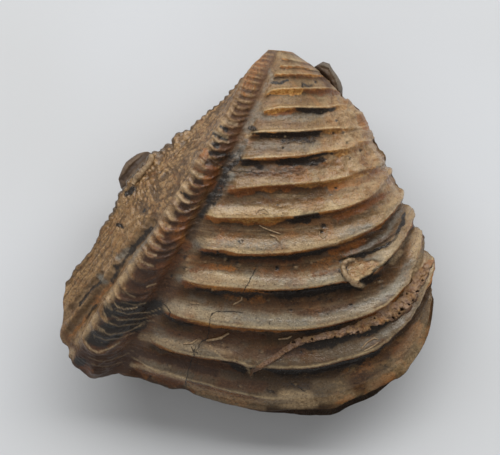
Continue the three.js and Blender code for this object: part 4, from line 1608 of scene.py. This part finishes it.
# The crust: pixel, half width in pixels and height in millimetres.
CRUST = groups("""
249.5,376.5,0.5,0.2 253,370,2.4,0.35 262,365.5,3,0.45 271,360,3,0.5 280,354,3.2,0.55 289,347,3.6,0.6
297,342.3,3.8,0.6 305,339.5,3.3,0.55 313,338.6,3.2,0.5 322,336.8,3.5,0.55 330,334.5,4,0.6
347,331,5,0.65 364,325.8,6.4,0.75 380,318,7.5,0.8 393,311,8,0.85 403,304,7.6,0.85 411,294,7,0.8
417,285,6.6,0.75 421.7,275,6.2,0.7 426,267,4.8,0.55 431,261.5,2.8,0.4 434.5,260,0.8,0.2
""")
# Holes in the crust: centre and half width in pixels.
CRUST_HOLES = groups("""
294,342,1.6 301,337.5,1.1 312,338.5,1.1 335,336.5,1 348,333,1.1 357,331,1.5 372,327,2.4 379,325,1.3
386,322,1.6 393,317.5,1.4 401,309,1.8 399,313,1.3 408,304,1.2 407,294,1 416,291.5,1.8 412,300,1.3
421,281,1.1 374,318,0.9
""")


def worm_crust(tree):
    """The ridge of crust that runs over the upper valve, with its holes."""
    path = np.array(CRUST)
    length = measured(path[:, :2])
    along = np.linspace(0, length[-1], 520)
    middle = blur(read_line(path, along, length), 6)
    run = unit(np.gradient(middle[:, :2], axis=0))
    aside = np.stack([-run[:, 1], run[:, 0]], -1)
    across = np.linspace(-1, 1, 27)
    pixels_along = along[:, None] + 0 * across
    edge = 1 + 0.34 * rough(pixels_along / 6, np.sign(across)[None] * 5, 81)
    offset = across[None] * middle[:, 2:3] * mix(1, edge, np.abs(across)[None] ** 2)
    pixels = middle[:, None, :2] + offset[..., None] * aside[:, None]
    met = np.array([[on_shell(tree, *pixel) for pixel in row] for row in pixels])
    base, normal = met[:, :, 0], met[:, :, 1]
    normal = unit(blur(normal, 5) + np.array([0, 0, 0.6]))
    base[..., 2] = mix(base[..., 2], blur(base[..., 2], 7), 0.6)

    px, py = pixels[..., 0], pixels[..., 1]
    dome = np.where(across < 0.5, ease(-1.04, 0.5, across) ** 0.7, ease(1.04, 0.5, across) ** 0.6)
    hole = np.zeros(px.shape)
    for cx, cy, half in CRUST_HOLES:
        away = np.hypot(px - cx, (py - cy) * 1.2) + 0.6 * rough(px / 2, py / 2, 85)
        hole = np.maximum(hole, ease(1.25, 0.7, away / half))
    height = middle[:, 3:4] * dome[None] * (1 + 0.4 * rough(pixels_along / 6, offset / 4, 83))
    fine = 0.17 * rough(pixels_along / 2.4, offset / 2.4, 84)
    height = height + fine * dome[None] - 0.4 * hole
    top = base + normal * (height - 0.05)[..., None]
    # The underside goes back across with a third of the points.
    back = slice(-3, 1, -3)
    under = base[:, back] - normal[:, back] * 0.5
    blank = np.zeros(under.shape[:2])
    # The flank mask: painted shade down the crust's lower side, and a browner tone towards its left
    # end.
    flank = np.maximum(0.9 * ease(0.6, 1, across)[None], 0.15 + 0.5 * ease(330, 275, px))
    masks = {"pit": np.concatenate([hole, blank], 1), "flank": np.concatenate([flank, blank], 1)}
    rings = np.concatenate([top, under], 1)
    piece = closed_loft("worm_crust", rings, masks, crust_finish())
    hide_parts("right_valve")


# Thin worm tubes: the radius in millimetres and then points by pixel.
TUBES = group_rows("""
0.4 355,259 348,259.5 343.5,263 342.3,270 346,276 351.5,281.5 357,285 361,286;
0.13 256,213.5 259,210 264,209 268,212;
0.12 259,225 264,228 272,231 281,234;
0.17 270,235 276,237 280,243;
0.1 319.5,231 319,235 323,238 327,235 326.5,230;
0.13 361,349 367,342.5 374,338 378.5,339.5;
0.12 364,351 372,347 379,342;
0.08 190,303 199,303.5;
0.08 262,213 268,214;
0.14 233,304.5 238,302 241.5,300 242,296.5;
0.24 206,340.5 213,339.5 221,337.5 229,332.5;
0.16 183,344 192,343 197,339.5;
0.15 278,339 288,338 292,335.5;
0.1 188,144 182,148.5 176,155;
0.55 152,154 151.5,160 148.5,167 142,173 136.5,179 133,185
""")
THICK_TUBE = 0.3        # millimetres; tubes of a greater radius run more smoothly over the ribs


def worm_tubes(tree):
    """The thin tubes cemented to the upper valve, one piece each."""
    material = tube_finish()
    turn = np.linspace(0, 2 * math.pi, 10, endpoint=False)[None, :, None]
    for number, ((radius,), *points) in enumerate(TUBES):
        path = np.array(points)
        length = measured(path)
        steps = max(12, int(length[-1] * 2))
        at = np.linspace(0, length[-1], steps)
        met = np.array([on_shell(tree, *pixel) for pixel in read_line(path, at, length)])
        thick = radius > THICK_TUBE
        centre = blur(met[:, 0], 4 if thick else 1)
        out = blur(met[:, 1], 6 if thick else 2)
        run = unit(np.gradient(centre, axis=0))
        side = unit(np.cross(run, out))
        out = np.cross(side, run)
        taper = np.sin(math.pi * np.clip(at / length[-1], 0.04, 0.96)) ** 0.4
        taper = radius * (0.45 + 0.55 * taper) * (1 + 0.15 * noise(at / 3, 0 * at + number, 95))
        ring = np.cos(turn) * side[:, None] + (np.sin(turn) + 0.35) * out[:, None]
        rings = centre[:, None] + ring * taper[:, None, None]
        piece = closed_loft(f"worm_tube_{number + 1}", rings, {}, material)
        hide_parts("right_valve")


FRONT_KNOB = groups("""
314,67 318,64.5 323,61.5 329.5,63.5 332.5,69 337,75 341,82 342.7,88 342.5,97 337,98 330,91 323,82
316,73
""")
REAR_LOBE = groups("""
150,152.5 147.5,151.5 143,152 137,154 130.5,158.5 126,162 122.5,168 119.7,175 118.3,179 119.7,184
121,188.5 127,192 136,188 146,178 154,166 157,156
""")


def lump(name, outline, centre, heights, details, seed):
    """A rounded lump with a traced outline, given its middle and its lowest and highest heights."""
    edge = np.array(outline + outline[:1]) - centre
    length = measured(edge)
    at = np.linspace(0, length[-1], 120, endpoint=False)
    edge = read_line(edge, at, length)
    bottom, top = heights
    turn = np.linspace(-math.pi / 2, math.pi / 2, 61)[1:-1, None]
    out = np.cos(turn) ** 0.7
    px = centre[0] + edge[None, :, 0] * out
    py = centre[1] + edge[None, :, 1] * out
    level = (bottom + top) / 2 + (top - bottom) / 2 * np.sin(turn) + 0 * px
    upper = ease(0, 0.5, np.sin(turn)) + 0 * px
    relief, masks = details(px, py)
    x, y = under_pixel(px, py)
    wobble = 0.12 * rough(x / 1.3, y / 1.3 + level, seed)
    wobble = wobble + 0.05 * rough(x / 0.5, y / 0.5 + level, seed + 5)
    level = level + relief * upper + wobble * ease(0.98, 0.8, out)
    masks = {k: v * upper for k, v in masks.items()}
    rings = np.stack([x, y, level], -1)
    piece = closed_loft(name, rings, masks, lump_finish())
    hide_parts("left_valve")


def line_readers(px, py):
    """Two readers of a text of pixels: the signed distance to that line, and the plain distance."""
    def beside(text):
        return stroke_distance(px, py, groups(text))

    return beside, lambda text: np.abs(beside(text))


def knob_details(px, py):
    """A crest along the knob's outer side over a hollow on its inner one."""
    beside, away = line_readers(px, py)
    inner = beside("316,66 326,76 331,83 336,92")
    crest = ease(4, 0.5, away("322,64 330,67 337,79 340,90"))
    # The hollow mask is painted shade on the knob's inner side.
    masks = {"hollow": 0.9 * ease(-5, 1, inner), "light": 0.35 * crest}
    return 0.5 * crest - 0.9 * ease(-2, 4, inner), masks


def lobe_details(px, py):
    """A valley and a ridge along the lobe, with a pale line and a cut near its lower end."""
    _, away = line_readers(px, py)
    valley = ease(4, 1, away("147,153 144,157 131.5,168 127,175 122.5,179"))
    ridge = away("152,156 147,165 140,174 134,179")
    line = ease(1.4, 0.4, away("148.5,163.5 146,167 141,172.5 134,178"))
    cut = ease(2.5, 0.5, away("132,178 140,182 148,184"))
    relief = 0.55 * ease(5, 1, ridge) - 0.35 * valley - 0.4 * cut
    light = np.maximum(0.6 * ease(4, 1, ridge), line)
    # The hollow mask is painted shade in the valley and the cut.
    return relief, {"hollow": np.maximum(0.8 * valley, cut), "light": light}


PAPER_HALF = 1.5        # metres


def paper_floor():
    """The sheet of paper that the part rests on."""
    mesh = bpy.data.meshes.new("paper")
    corners = [(x * PAPER_HALF, y * PAPER_HALF, 0) for x, y in ((-1, -1), (1, -1), (1, 1), (-1, 1))]
    mesh.from_pydata(corners, [], [(0, 1, 2, 3)])
    mesh.materials.append(paper_finish())
    floor = bpy.data.objects.new("paper", mesh)
    bpy.context.scene.collection.objects.link(floor)


def lamp(name, place_mm, size_m, watts, colour):
    """A flat lamp that faces the frame's origin."""
    data = bpy.data.lights.new(name, "AREA")
    data.shape = "RECTANGLE"
    data.size, data.size_y = size_m
    data.energy = watts
    data.color = colour
    light = bpy.data.objects.new(name, data)
    light.location = Vector(place_mm) * METRES
    light.rotation_euler = (-light.location).to_track_quat("-Z", "Y").to_euler()
    bpy.context.scene.collection.objects.link(light)


WORLD_COLOUR = (1.0, 0.975, 0.94, 1)
WORLD_STRENGTH = 0.29
SENSOR_WIDTH = 36       # millimetres


def light_and_camera():
    scene = bpy.context.scene
    world = bpy.data.worlds.new("studio")
    world.use_nodes = True
    background = world.node_tree.nodes["Background"]
    background.inputs["Color"].default_value = WORLD_COLOUR
    background.inputs["Strength"].default_value = WORLD_STRENGTH
    scene.world = world
    lamp("window", (60, 760, 840), (2.2, 0.59), 20.5, (1, 0.985, 0.955))
    lamp("fill", (-360, -380, 440), (0.9, 0.9), 0.75, (1, 0.99, 0.97))
    scene.view_settings.view_transform = "Standard"

    data = bpy.data.cameras.new("camera")
    data.sensor_width = SENSOR_WIDTH
    data.lens = SENSOR_WIDTH * CAMERA_DISTANCE / (PICTURE_SIZE[0] * PIXEL)
    data.clip_end = 100
    camera = bpy.data.objects.new("camera", data)
    camera.location = Vector(CAMERA_PLACE) * METRES
    scene.collection.objects.link(camera)
    scene.camera = camera


light_and_camera()
paper_floor()
shell = upper_valve()
lower_valve()
worm_crust(shell)
worm_tubes(shell)
lump("front_knob", FRONT_KNOB, (329, 79), (12.6, 16.6), knob_details, 91)
lump("rear_lobe", REAR_LOBE, (136, 171), (13.0, 16.4), lobe_details, 92)
